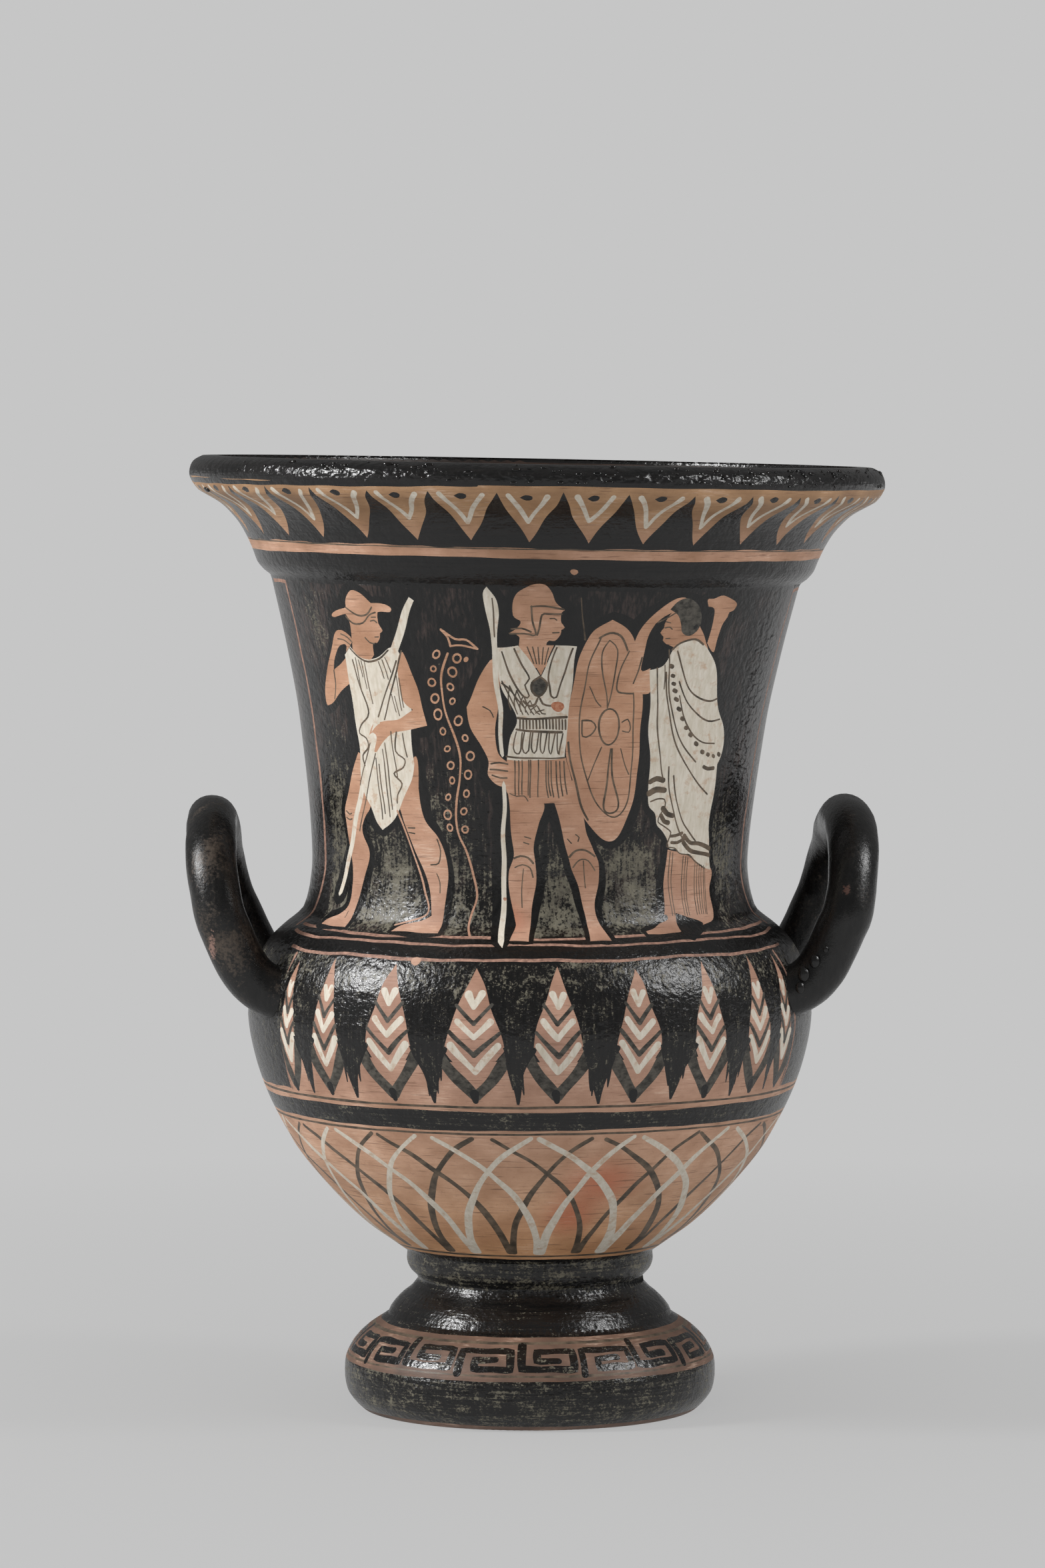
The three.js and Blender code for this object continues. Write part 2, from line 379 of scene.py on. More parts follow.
def all_bands():
    """Paints every band, each with a waver of its own."""
    for slip, low, high, waver in BANDS:
        bands.append((slip, float(at_height(low)), float(at_height(high)), waver, chance.uniform(0, 6)))


TEETH = 33
TEETH_BELT = 130
TOOTH_PITCH = 2 * math.pi * TEETH_BELT / TEETH


def flare_tooth(middle):
    """Under the lip: a black fin beside a clay tongue with a white V and a dark drop."""
    place = {"belt": TEETH_BELT, "centre": middle}
    lean = chance.uniform(-0.7, 0.7)
    tip = TOOTH_PITCH / 2
    fill(
        BLACK,
        [(tip, 368.4), (tip * 0.6, 375.4), (tip * 0.24 + lean * 0.4, 382.6)],
        [(lean, 388.6 + chance.uniform(-0.5, 0.5)), (-tip * 0.26 + lean * 0.4, 382.6), (-tip * 0.62, 375.4)],
        [(-tip, 368.4)],
        [(-tip, 366.0)],
        [(tip, 366.0)],
        **place,
    )
    place["centre"] += tip
    reach = chance.uniform(7.2, 8.8)
    foot = chance.uniform(375, 377.4)
    stroke(WHITE, 2.5, [(-reach, 387.4), (-reach * 0.5, 382), (-0.7, foot)], 1.7, **place)
    stroke(WHITE, 1.8, [(-0.4, foot + 0.4), (2.4, 381), (reach * 0.86, 387.2)], 2.3, **place)
    fill(CONTOUR, [(-3.4, 386.8), (-1.2, 388), (1.1, 387.4), (0.8, 386), (-1.2, 385.6)], **place)


# Diamonds of one side's frieze as the brush left them: place across the belly, and half of the widest part.
DIAMONDS = (
    (-119.5, 5.4), (-94, 7.7), (-61, 11), (-23, 12.3), (11.5, 10.3), (46, 9.8), (80, 8.3), (110, 7.9),
    (131.5, 5.4),
)


def belly_tongue(left, right):
    """The black between two diamonds, which ends below in a spike of the brush."""
    middle = (left + right) / 2 + chance.uniform(-1.2, 1.2)
    wide = (right - left) / 2
    low = 140.6 + chance.uniform(-0.9, 0.9)
    fill(
        BLACK,
        [(left - 2, 164), (left - wide * 0.05, 158.6), (middle - wide * 0.5, 150.4), (middle - 0.5, low)],
        [(middle + 0.5, low), (middle + wide * 0.54, 151), (right + wide * 0.05, 158.6), (right + 2, 164)],
        belt=BELLY_RADIUS,
    )
    for share in (-0.62, -0.3, 0.34, 0.66):
        start = middle + wide * share
        lean = chance.uniform(-1.6, 1.6) - share * 2
        end = low + abs(share) * 9 + chance.uniform(0, 4)
        hair = [(start, end + 11), (start + lean * 0.5, end + 5), (start + lean, end)]
        stroke(BLACK, chance.uniform(2, 3.4), hair, 0.5, belt=BELLY_RADIUS)


def belly_diamond(middle, half):
    """On the belly: a clay diamond of nested chevrons in white and dark wash over a broad dark V."""
    place = {"belt": BELLY_RADIUS, "centre": middle}
    part = half / 12.4
    drift = chance.uniform(-0.8, 0.8)
    stroke(GREY, 5.2, [(-half - 2.0, 160), (-half * 0.56 - 1.4, 151.4), (drift - 0.4, 143.6)], 4.6, **place)
    stroke(GREY, 4.8, [(drift + 0.2, 143.6), (half * 0.54 + 1.4, 151.4), (half + 2.0, 160.2)], 5.0, **place)
    stroke(CONTOUR, 3.8, [(drift - 0.6, 144.4), (drift, 141.4)], 2.6, **place)
    top = 195.5 + chance.uniform(-1.5, 1.5)
    fill(
        CLAY,
        [(drift, 147), (half * 0.5, 154.6), (half, 162.6)],
        [(half, 162.6), (half * 0.84, 171.5), (half * 0.58, 180), (half * 0.32, 188)],
        [(drift * 0.5, top), (-half * 0.33, 188), (-half * 0.6, 180), (-half * 0.85, 171.5)],
        [(-half, 162.6), (-half * 0.5, 154.6)],
        **place,
    )
    slope = chance.uniform(-0.7, 0.7)
    for sign in (-1, 1):
        rise = sign * slope
        out = sign * part
        lobe = [(out * 2.9, 185.4 + rise * 0.4), (out * 1.5, 183), (0, 180.4)]
        stroke(WHITE, 3.8 * part, lobe, 2.2, **place)
        stroke(GREY, 1.4, [(out * 7.6, 181 + rise), (out * 3.8, 177.2), (drift * 0.3, 173.4)], 1.9, **place)
        stroke(WHITE, 2.8, [(out * 7.2, 174.4 + rise), (out * 4, 171.4), (drift * 0.5, 167.6)], 2.2, **place)
        stroke(GREY, 1.6, [(out * 10.6, 170 + rise), (out * 5.4, 165.4), (drift * 0.6, 160.4)], 2.1, **place)
        stroke(WHITE, 3.0, [(out * 9.7, 164.6 + rise), (out * 5.2, 159.4), (drift, 153.6)], 2.4, **place)


def frieze(turn):
    """One side's row of diamonds between two thin upright lines. Under the handles all is painted black."""
    start = turn * BELLY_RADIUS
    for middle, half in DIAMONDS:
        belly_diamond(start + middle, half)
    for (one, one_half), (other, other_half) in zip(DIAMONDS[:-1], DIAMONDS[1:]):
        belly_tongue(start + one + one_half + 1.2, start + other - other_half - 1.2)
    first, last = start + DIAMONDS[0][0] - 7.5, start + DIAMONDS[-1][0] + 7.5
    gap = math.pi * BELLY_RADIUS - (last - first)
    place = {"belt": BELLY_RADIUS, "centre": last}
    fill(BLACK, [(-1, 196.6)], [(gap + 1, 196.6)], [(gap + 1, 140.8)], [(gap / 2, 140.6)], [(-1, 140.8)],
         **place)
    stroke(RESERVED, 1.5, [(-3, 197), (1, 180), (2, 160), (0, 141)], 1.3, **place)
    place["centre"] = first
    stroke(RESERVED, 1.8, [(2, 197), (-1, 180), (0, 160), (2, 141)], 1.4, **place)


LATTICE = 14
LATTICE_PITCH = 2 * math.pi * BELT / LATTICE


def bowl_lattice():
    """On the lower bowl: strokes that spring from points at the stem and cross on the way up."""
    right = [(1, 72.6), (2.6, 80), (6.4, 89), (12, 98.4), (20, 110), (28, 118.8), (37, 125.4)]
    left = [(-1.4, 72.6), (-3.4, 80), (-8, 90), (-15, 100), (-24.4, 109), (-35.4, 117.4), (-48, 125)]
    for slip, offset, broad, narrow in ((THIN, -14, 3.0, 1.7), (WHITE, 8, 3.5, 1.9)):
        for k in range(LATTICE):
            middle = offset + k * LATTICE_PITCH + chance.uniform(-2, 2)
            for rise in (right, left):
                swing = 1 + chance.uniform(-0.07, 0.07)
                bow = chance.uniform(-1.2, 1.2)
                path = [(across * swing + bow * math.sin((z - 72) / 17), z) for across, z in rise]
                width = chance.uniform(0.85, 1.2)
                stroke(slip, broad * width, path, narrow * width, centre=middle, step=2.2)


KEYS = 18
KEY_BELT = 70


def foot_key(middle, flip):
    """On the foot: one square spiral of the running key."""
    path = [(-10.7, -5.6), (-10.7, 3.3), (9.9, 3.3), (9.9, -3.4), (-4.6, -3.4), (-4.6, 0.1), (3.9, 0.2)]
    shift = chance.uniform(-0.5, 0.5)
    points = [(across + shift, 29.5 + flip * up) for across, up in path]
    stroke(BLACK, 3.3, points, 3.1, belt=KEY_BELT, centre=middle, sharp=True)


def lip_overrun():
    """On the left the brush drew the black of the lip a little lower."""
    path = [(-225, 390.3), (-170, 389.9), (-115, 390.2), (-70, 390.6), (-25, 391.4)]
    stroke(BLACK, 2.8, path, 1.4, belt=LIP_RADIUS, step=4)


def patterns():
    lip_overrun()
    for k in range(TEETH):
        flare_tooth(-3 - TOOTH_PITCH / 2 + k * TOOTH_PITCH)
    for turn in (0, math.pi):
        frieze(turn)
    bowl_lattice()
    for k in range(KEYS):
        foot_key(7 + k * 2 * math.pi * KEY_BELT / KEYS, -1 if k % 2 == 0 else 1)


def picture_frame(turn):
    """Thin lines left in clay that close one side's picture, and the ground that its figures stand on."""
    place = {"centre": turn * BELT}
    stroke(RESERVED, 1.7, [(-141, 348.7), (-122, 348.6)], 1.4, **place)
    stroke(RESERVED, 1.5, [(-121.5, 348.4), (-119.5, 300), (-118.5, 245), (-121, 223), (-128, 207)], 2.2,
           **place)
    stroke(RESERVED, 1.6, [(150, 348.8), (134, 348.6)], 1.4, **place)
    stroke(RESERVED, 1.3, [(133.5, 348.4), (131, 300), (128.5, 245), (130, 224), (137, 207)], 2.0, **place)
    for left, right, z, width in ((-123, 134, 204.2, 1.5), (-122, 132, 206.8, 1.7), (-112, 124, 198.5, 1.6)):
        sag = [(left + (right - left) * k / 12, z + 0.35 * math.sin(k * 1.9 + z)) for k in range(13)]
        sag[0] = (sag[0][0], z + 0.9)
        sag[-1] = (sag[-1][0], z + 0.9)
        stroke(RESERVED, width, sag, width * 0.8, step=4, **place)


# Picture on the neck. Outlines are across and up, in millimetres.

LINE_WIDTH = 0.75


def limb(*runs, slip=CLAY):
    """A part of a figure, kept so that the dense contour can be laid under all of them first."""
    figure_parts.append((slip, runs))


figure_parts = []
figure_lines = []


def pen(points, width=LINE_WIDTH, slip=THIN, end_width=None):
    figure_lines.append((slip, width, points, end_width))


def pleats(middle, end, width, *lines):
    """Short folds in cloth: place, top and low end, with the sideways drift at their middle and end."""
    for x, top, low in lines:
        pen([(x, top), (x + middle, (top + low) / 2), (x + end, low)], width)


def paint_figures():
    """Lays the dense black contour that hugs the figures, then the figures and then their inner lines."""
    for _, runs in figure_parts:
        outline = turned_left(on_sheet(runs_to_outline(runs, 2.4)))
        ahead = np.roll(outline, -1, 0) - np.roll(outline, 1, 0)
        ahead /= np.maximum(np.hypot(ahead[:, 0], ahead[:, 1]), 1e-6)[:, None]
        grow = 3.4 + 0.8 * np.sin(outline[:, 0] * 0.21) + 0.7 * np.sin(outline[:, 1] * 0.17)
        lay(outline + np.stack([ahead[:, 1], -ahead[:, 0]], 1) * grow[:, None], CONTOUR, longest=3)
    for slip, runs in figure_parts:
        fill(slip, *runs)
    for slip, width, points, end_width in figure_lines:
        stroke(slip, width, points, end_width, step=1.8)
    figure_parts.clear()
    figure_lines.clear()


def traveller():
    """A youth in a sun hat and a short white tunic, leaning on a staff."""
    limb([(-84, 279), (-90, 269), (-94, 261), (-96.6, 255), (-96, 250), (-95, 243), (-92.5, 233), (-92, 224),
          (-92.5, 217), (-98, 213), (-106, 210)], [(-106.5, 208.3)],
         [(-88, 208.3), (-87.6, 213), (-85.6, 221), (-83, 229), (-80.6, 236), (-81, 240), (-84, 245),
          (-84.4, 248.5), (-82, 253), (-78, 259), (-76, 275)])
    limb([(-66, 262), (-52, 279), (-50.8, 266), (-49.6, 256), (-47.5, 251.5), (-42, 246), (-38.6, 240),
          (-37.4, 233), (-38, 225), (-38, 214)], [(-39, 208.2)],
         [(-61, 208.2), (-58, 210.5), (-50, 212.4), (-44, 215.2)],
         [(-44, 215.2), (-46, 224), (-50, 234), (-55, 243), (-59, 251), (-61.5, 258)])
    limb([(-84, 321), (-79, 326), (-83, 329.2), (-88, 328.6), (-92.5, 322.5), (-98, 313), (-102.6, 305.5),
          (-103.4, 300)], [(-102.5, 298.2), (-98, 299.5), (-92, 303.5), (-85, 307.4)],
         [(-83, 308), (-83, 319), (-85.2, 318.2)], [(-88.5, 315.4), (-93.4, 312.6)],
         [(-93.4, 312.6), (-91.5, 318), (-88, 322.6), (-84.4, 324), (-83, 323.4)])
    limb([(-80, 321), (-78.6, 331), (-80, 337)],
         [(-80.5, 339.2), (-65, 340), (-64.4, 336), (-64.2, 333.4), (-62.4, 330.8)],
         [(-63.8, 329.6), (-63.9, 327.6), (-65.5, 325.2), (-67.6, 324.8)], [(-68, 320), (-72, 317.5)])
    limb([(-80.4, 336.6), (-87, 334.8), (-88.8, 335.8), (-86.4, 337.4), (-80, 339.2)],
         [(-79.6, 339.6), (-78.8, 343), (-75, 346.6), (-70.6, 345.6), (-66.4, 341.4)],
         [(-66.4, 341.4), (-60, 341.3), (-57, 340), (-57.6, 338.4), (-62.6, 338.2), (-66.6, 337)],
         [(-66.6, 337), (-72, 333.6), (-77, 333)])
    limb([(-85, 319.8), (-81, 323.4)],
         [(-81, 323.4), (-77, 319.6), (-71.8, 318), (-65.6, 319.6), (-60, 323.6)],
         [(-57, 324), (-54.6, 318), (-54, 306), (-52, 299.4), (-53.6, 289), (-52.6, 276)],
         [(-52.6, 276), (-54.6, 268.6), (-59.4, 260), (-64.6, 253), (-71.4, 248)],
         [(-71.4, 248), (-75.4, 251.4), (-78.6, 258.2)],
         [(-79, 258.6), (-82, 264), (-83, 271), (-82.8, 284), (-84, 300)], slip=WHITE)
    limb([(-57.8, 316), (-54.4, 322), (-51, 313.4), (-48.2, 306), (-46.8, 298)], [(-45.8, 292)],
         [(-45.8, 292), (-55, 289.9), (-62, 288), (-67.6, 284.6), (-72.4, 280.2)],
         [(-73.6, 280.8), (-71, 287.2), (-73.2, 289), (-76, 287)],
         [(-76, 287), (-73.2, 291.6), (-67.6, 292.8), (-60, 293.6), (-54.4, 297), (-51.4, 298.8)],
         [(-51.4, 298.8), (-55.6, 302), (-57.6, 309)])
    limb([(-48.6, 344.6), (-46.6, 343.2)], [(-46.6, 343.2), (-74.6, 280.4), (-99.6, 221.4)],
         [(-99.6, 221.4), (-101.6, 220), (-102.6, 221)], [(-102.6, 221), (-77.8, 280.4), (-57, 328.4)],
         slip=WHITE)
    limb([(-66, 289.6), (-70, 291.8), (-75.6, 287.4)], [(-75.6, 287.4), (-73.6, 288.4), (-71.4, 286.6)],
         [(-72.8, 281), (-68.8, 284.8)])
    pen([(-57.6, 318), (-70, 294.8)])
    pen([(-54.6, 322.4), (-66.6, 293.6)])
    pen([(-73, 279.6), (-86.4, 247)], 0.6)
    pen([(-75.8, 283.8), (-84, 266)], 0.6)
    pen([(-62.6, 256.4), (-57.4, 245.4), (-52.4, 234.4), (-48.6, 224.6), (-46.4, 215.6), (-61, 210.6)], 0.8,
        CLAY)
    pen([(-81.2, 322.6), (-76.8, 319), (-71.8, 317.2), (-65.6, 318.8), (-60.6, 322.6)])
    pleats(1, 1.8, 0.5, (-79, 319, 304), (-77.4, 318, 311), (-75.8, 317.6, 306), (-74, 317.2, 300),
           (-66.4, 317.6, 311), (-64.4, 318.4, 310.6), (-62.8, 319.4, 313.4))
    pleats(0.8, 1.6, 0.5, (-61.6, 304.4, 297), (-60, 303.6, 295.6), (-58.6, 312, 298), (-57.4, 311, 299.4))
    pleats(0.6, 1.6, 0.6, (-73, 277.6, 252.6), (-71.4, 275, 255), (-68.6, 281.4, 254), (-67, 284, 257),
           (-63.4, 288.6, 270), (-57.6, 288.4, 279))
    pen([(-80.8, 318), (-78, 307), (-75.2, 296), (-80, 291), (-81.6, 287.4), (-77.8, 285.6), (-77, 282),
         (-81, 278), (-80, 274)])
    pen([(-60.6, 288.6), (-61.6, 281), (-57.4, 278), (-58.6, 274.6), (-63.6, 271.6), (-59.4, 267.6),
         (-62, 262.6), (-62.4, 259.6)])
    pen([(-93.4, 312.6), (-94, 307), (-96.4, 301)])
    pen([(-87.4, 326), (-83.6, 325.6), (-80.6, 324)], 0.6)
    pen([(-85, 328), (-81.6, 327), (-79.2, 325)], 0.6)
    pen([(-79.8, 339.4), (-74, 336.6), (-69.4, 337), (-66.4, 339.8)])
    pen([(-80.4, 335.6), (-77, 333), (-72, 333.4), (-68.4, 336.6), (-65, 337.8)])
    pen([(-68, 334.2), (-66.2, 334.6), (-65, 333.8)], 0.6)
    pen([(-67.4, 335.8), (-65.2, 335.9)], 0.5)
    pen([(-66.4, 327.6), (-64.6, 327.9)], 0.5)
    pen([(-71.6, 327), (-69.4, 325), (-67, 324.8)], 0.6)
    pen([(-95.4, 254.4), (-93, 253), (-91.4, 253.4)], 0.6)
    pen([(-95.6, 251.8), (-93, 250.8), (-91.4, 251.2)], 0.6)
    pen([(-57.2, 249.6), (-54, 249.8)], 0.6)
    pen([(-57, 247.8), (-54, 247.6)], 0.6)
    pen([(-42.6, 245.4), (-40.8, 241), (-41.8, 236), (-45.6, 235)], 0.6)
    pen([(-43, 231.6), (-41.6, 228.4), (-41.2, 224)], 0.5)
    pen([(-91.6, 214.6), (-92.4, 212)], 0.5)


VINE_STEM = (
    (-34.4, 322), (-37.4, 314), (-38.2, 308), (-37.2, 299.6), (-33.4, 289), (-31, 279), (-31.4, 271),
    (-33, 262), (-32.6, 249), (-29, 241), (-25.6, 233), (-23.6, 224), (-25.6, 216), (-26.4, 211),
    (-25, 207.6),
)


def vine():
    """A hanging tendril with a leaf and two rows of berries, drawn in clay."""
    pen(list(VINE_STEM), 0.9, CLAY)
    pen([(-36.6, 331.6), (-34, 328.4), (-33.2, 325)], 1.0, CLAY)
    pen([(-36.6, 331.6), (-31, 328), (-26.6, 328), (-22.6, 324.2)], 1.0, CLAY)
    pen([(-33.2, 325), (-28.6, 325.6), (-22.6, 324.2)], 0.8, CLAY)
    rows = (
        (-1, (321.6, 315.6, 309.6, 303, 297, 290.6, 283, 275.6, 269.6, 263, 255.6, 250.4)),
        (1, (320.4, 315, 308.6, 302.6, 294.4, 287.6, 280.6, 272.6, 265, 258, 250)),
    )
    for side, heights in rows:
        for z in heights:
            stem = np.interp(z, [p[1] for p in VINE_STEM[::-1]], [p[0] for p in VINE_STEM[::-1]])
            across = stem + side * (4.0 + chance.uniform(-0.7, 0.7))
            berries.append((across, z, 1.85 + chance.uniform(-0.35, 0.35)))
    berries.append((-27.4, 320, 1.0))


berries = []


def paint_berries():
    """Each berry is a small ring of clay round the black ground."""
    turns = [math.radians(t) for t in range(0, 360, 40)]
    for x, z, size in berries:
        for slip, radius in ((CLAY, size), (BLACK, size - 0.72)):
            ring = [(x + radius * math.cos(t), z + radius * 1.08 * math.sin(t + 0.1)) for t in turns]
            if radius > 0.5:
                fill(slip, ring, shake=0.3, longest=1)


def warrior():
    """A man in a helmet and a white cuirass, with a spear and an oval shield."""
    limb([(-10.6, 268), (-9.2, 256), (-8, 247), (-7.6, 240), (-9.6, 233), (-9, 225), (-6.6, 215), (-6, 211)],
         [(-8.4, 205.8)],
         [(-0.6, 205.6), (0, 212), (0.6, 218), (3, 228), (2, 238), (1.4, 244), (3, 253), (5, 263)])
    limb([(9.6, 263), (13, 252), (17, 240), (18.4, 234), (22, 226), (24.2, 217), (24.4, 211)], [(24, 205.8)],
         [(33, 205.6), (29.6, 213), (29, 221), (31.2, 230), (31.2, 237), (28, 242.4), (24.6, 249),
          (23.4, 256), (21, 263), (19, 272)])
    limb([(-15, 320), (-17.4, 319.6), (-22.4, 311), (-27.4, 300)],
         [(-27.4, 300), (-26, 291.6), (-22, 285), (-18.6, 278.6), (-18.4, 272.4), (-14.6, 268.6),
          (-10.4, 269.4)], [(-10, 278), (-14.4, 281.6), (-15.6, 290), (-15.2, 298), (-13.4, 310)])
    limb([(-9.8, 331.4), (-6.8, 333.4), (-5.6, 336), (-8.6, 338.2), (-8.6, 343.4), (-6.4, 348.2),
          (-1.4, 351.4), (3, 351.2), (6.2, 348), (8, 344.2)], [(11.2, 341.4), (10, 340.2)],
         [(9.6, 337.6), (9.7, 336), (10.9, 334)], [(9.6, 333), (9.4, 331), (7.6, 328.4), (4.6, 327.6)],
         [(5, 318), (-5, 318)], [(-5.4, 329.6), (-7, 331)])
    limb([(-10.8, 280.6), (14.4, 280.6)], [(14.6, 280), (17.6, 266.2)],
         [(17.6, 266.2), (13.4, 262), (9, 262), (0, 262.2), (-10.4, 265.4)])
    limb([(-14.4, 325.2), (-6, 326.4)], [(-6, 326.4), (2.4, 313.6)], [(2.4, 313.6), (8, 326.6)],
         [(8, 326.6), (16.6, 325.8)], [(16.6, 325.8), (15.2, 310), (14.4, 297), (14, 280.4)],
         [(14, 280.4), (1, 278.8), (-10.8, 279.4)],
         [(-10.8, 279.4), (-9, 288), (-6.6, 295.4), (-9.6, 302), (-12.6, 308), (-14.2, 317)], slip=WHITE)
    limb([(-5.4, 326.6), (7.4, 326.6)], [(7.4, 326.6), (2.4, 314.4)], [(2.4, 314.4)])
    limb([(30, 337.4), (22.4, 332.6), (18.4, 323), (15.4, 309), (14, 291), (15.6, 276), (20.4, 262),
          (26, 252.4), (32, 247.2), (38.2, 247), (43, 254), (46, 268), (46.6, 284), (46, 300), (43, 318),
          (38, 331)])
    limb([(-17.6, 350), (-19.2, 347), (-18.8, 340), (-17, 331)], [(-16.6, 320), (-14.8, 300), (-13.6, 281.6)],
         [(-12, 280.8)], [(-12.8, 300), (-14.2, 318), (-14.4, 331)], [(-14, 338), (-14.6, 344.6)], slip=WHITE)
    limb([(-12.8, 269), (-11.2, 269)], [(-10.8, 240), (-10.4, 206)], [(-12.8, 205.6)], [(-12.8, 240)],
         slip=WHITE)
    pen([(-16, 345), (-15.8, 336), (-15.4, 329.6)], 0.6)
    pen([(-1.6, 342.2), (4, 342.4), (10.6, 341.6)])
    pen([(-1.4, 342.4), (-1, 336), (0.4, 330.4), (-3.8, 331), (-9.4, 331.2)])
    pen([(-9, 333), (-5, 333.2), (-1.4, 331.6)], 0.7)
    pen([(10, 339.6), (5, 339.2), (2.6, 338.6), (1.6, 333), (1, 330.4)])
    pen([(5.6, 337.4), (7.2, 337.6), (8, 337)], 0.6)
    pen([(6.6, 331.6), (8.8, 331.8)], 0.6)
    for x in (-2.6, -0.6, 1.4, 3.4, 5.4):
        pen([(x, 325.6), (x + (2.2 - x) * 0.45, 319)], 0.5)
    limb([(2.2, 313.6), (5, 311.2), (4.8, 308), (2.4, 305.8), (0, 307.6), (-0.6, 311)], slip=GREY)
    pen([(2.2, 313.8), (5.2, 311.2), (4.8, 307.6), (2.4, 305.4), (-0.4, 307.4), (-0.8, 311), (2.2, 313.8)],
        0.9)
    pen([(-12.6, 323.6), (-10, 315), (-6.8, 308.6), (-3.6, 305), (-1.6, 305.6), (-3.6, 309.8), (-2, 312.6),
         (-5, 318), (-7.6, 325)])
    pen([(8.6, 325.6), (6.4, 319), (5.6, 313.6), (6.6, 309), (7.4, 305.4), (9.4, 305), (10.8, 311), (13, 318),
         (15, 325)])
    pen([(-12.6, 310.6), (-9.6, 308), (-6.4, 303.8), (-3.6, 301)], 0.7)
    pen([(-4, 303.4), (-1.6, 301.6), (1, 302.4), (2.4, 305.4), (4, 302.4), (7, 301.4), (10, 302)], 0.9)
    for k in range(6):
        pen([(-12.6 + k * 2.9, 311.4 - k * 2.0), (-9.4 + k * 2.6, 304.4 - k * 1.2), (-6.6 + k * 2.3, 298.2)],
            0.55)
        pen([(-9.6 + k * 2.8, 309.4 - k * 1.9), (-10.4 + k * 2.4, 303.8 - k * 0.9),
             (-9.4 + k * 2.1, 299.8 - k * 0.2)], 0.55)
    pen([(-6.4, 296.6), (4, 296.4), (13.6, 297.2)], 1.0)
    pen([(-6.6, 291.8), (4, 291), (11.8, 291.2)], 1.0)
    for k in range(15):
        pen([(-5.4 + k * 1.32, 296), (-5.2 + k * 1.32, 292.4)], 0.75)
    for k in range(6):
        x = -6 + k * 3.3
        pen([(x - 0.6, 290.8), (x - 1.9 + k * 0.4, 284), (x - 0.6 + k * 0.3, 281.8), (x + 1, 283),
             (x + 1.8, 290.6)], 0.6)
    pen([(-11, 280.6), (1, 279.8), (13.8, 280.6)], 0.7)
    for x in (-7.6, -6, -4.6, -1.8, -1, 2.4, 5.8, 6.8, 8, 10.2, 11.8, 13.6):
        pen([(x, 279), (x + 0.3, 271), (x + (0.6 if x < 4 else 1.6), 263.4 + chance.uniform(0, 2))], 0.55)
    pen([(-9.4, 265.4), (-6.4, 264.2), (-3, 264.4), (-1.4, 262.4)], 0.5)
    pen([(-7.4, 238.8), (-4.6, 240), (-1.2, 239.4), (1.2, 237)], 0.9)
    pen([(-7, 235), (-3.8, 236.4), (-0.2, 235), (1.4, 231)], 0.6)
    pen([(-3.2, 234.6), (-3.4, 226), (-3.4, 219)], 0.5)
    pen([(17.6, 239.6), (20.4, 242), (24.6, 242), (29, 239.8)], 0.9)
    pen([(19, 235.2), (22, 238), (26, 237.8), (29.4, 234)], 0.6)
    pen([(23.8, 237.6), (24.2, 232), (24.8, 227)], 0.5)
    pen([(-2.6, 247.8), (0, 247.2)], 0.5)
    pen([(-3, 245.6), (-0.8, 245)], 0.5)
    pen([(16.4, 247), (18.2, 245.2)], 0.5)
    pen([(19.8, 249), (21.4, 247.6), (21, 246)], 0.5)
    pen([(-17.4, 277.4), (-14, 278), (-10.6, 277.6)], 0.7)
    pen([(-17.6, 275), (-14, 275), (-10.6, 274.8)], 0.7)
    pen([(-16.8, 272.6), (-13.6, 271.8), (-10.8, 272)], 0.7)
    pen([(-20.8, 300.8), (-18, 299.4), (-16.6, 296.6)], 0.6)
    pen([(19.4, 329), (18, 337), (16.8, 346)], 0.8, THIN, 0.4)
    warrior_shield()


def warrior_shield():
    """The lines on the shield: a rim, a boss and long loops."""
    pen([(25, 330), (29, 332), (33.4, 330.6), (36.6, 325)], 0.9)
    pen([(25.6, 330), (21.6, 318), (19.6, 303), (19.4, 290), (22, 276), (27, 264), (33, 257.4), (38.6, 256.4),
         (42.4, 262), (43.6, 276), (43, 292), (41.2, 307)], 0.6)
    pen([(15, 287), (17.4, 274), (21.4, 262), (25.2, 255)], 0.9)
    turns = [math.radians(t) for t in range(0, 361, 30)]
    pen([(32 + 4.4 * math.cos(t), 293.4 + 7.6 * math.sin(t)) for t in turns], 0.8)
    pen([(29, 329), (26.6, 324), (27.4, 315), (30, 306), (30.8, 301.4)], 0.6)
    pen([(29, 329), (32.4, 325), (32.8, 316), (31.6, 306), (30.8, 301.4)], 0.6)
    pen([(33.2, 284), (33, 272), (31.8, 261), (33.6, 257.8), (37.4, 258.4), (38.4, 262), (35.4, 272),
         (33.8, 284)], 0.8)
    pen([(20.4, 295.6), (24.4, 295.4), (26.4, 293), (24, 289.6), (20.8, 289.2), (20.4, 295.6)], 0.7)
    pen([(37.6, 295.2), (40, 296.4), (41.6, 293.4), (41, 291), (38, 291.4)], 0.6)
    pen([(29, 285), (26.4, 278), (23.8, 271)], 0.5)
    pen([(22.2, 310), (25.6, 304), (28, 301.8)], 0.5)
    pen([(37.8, 284), (40.4, 278), (42.6, 274)], 0.5)


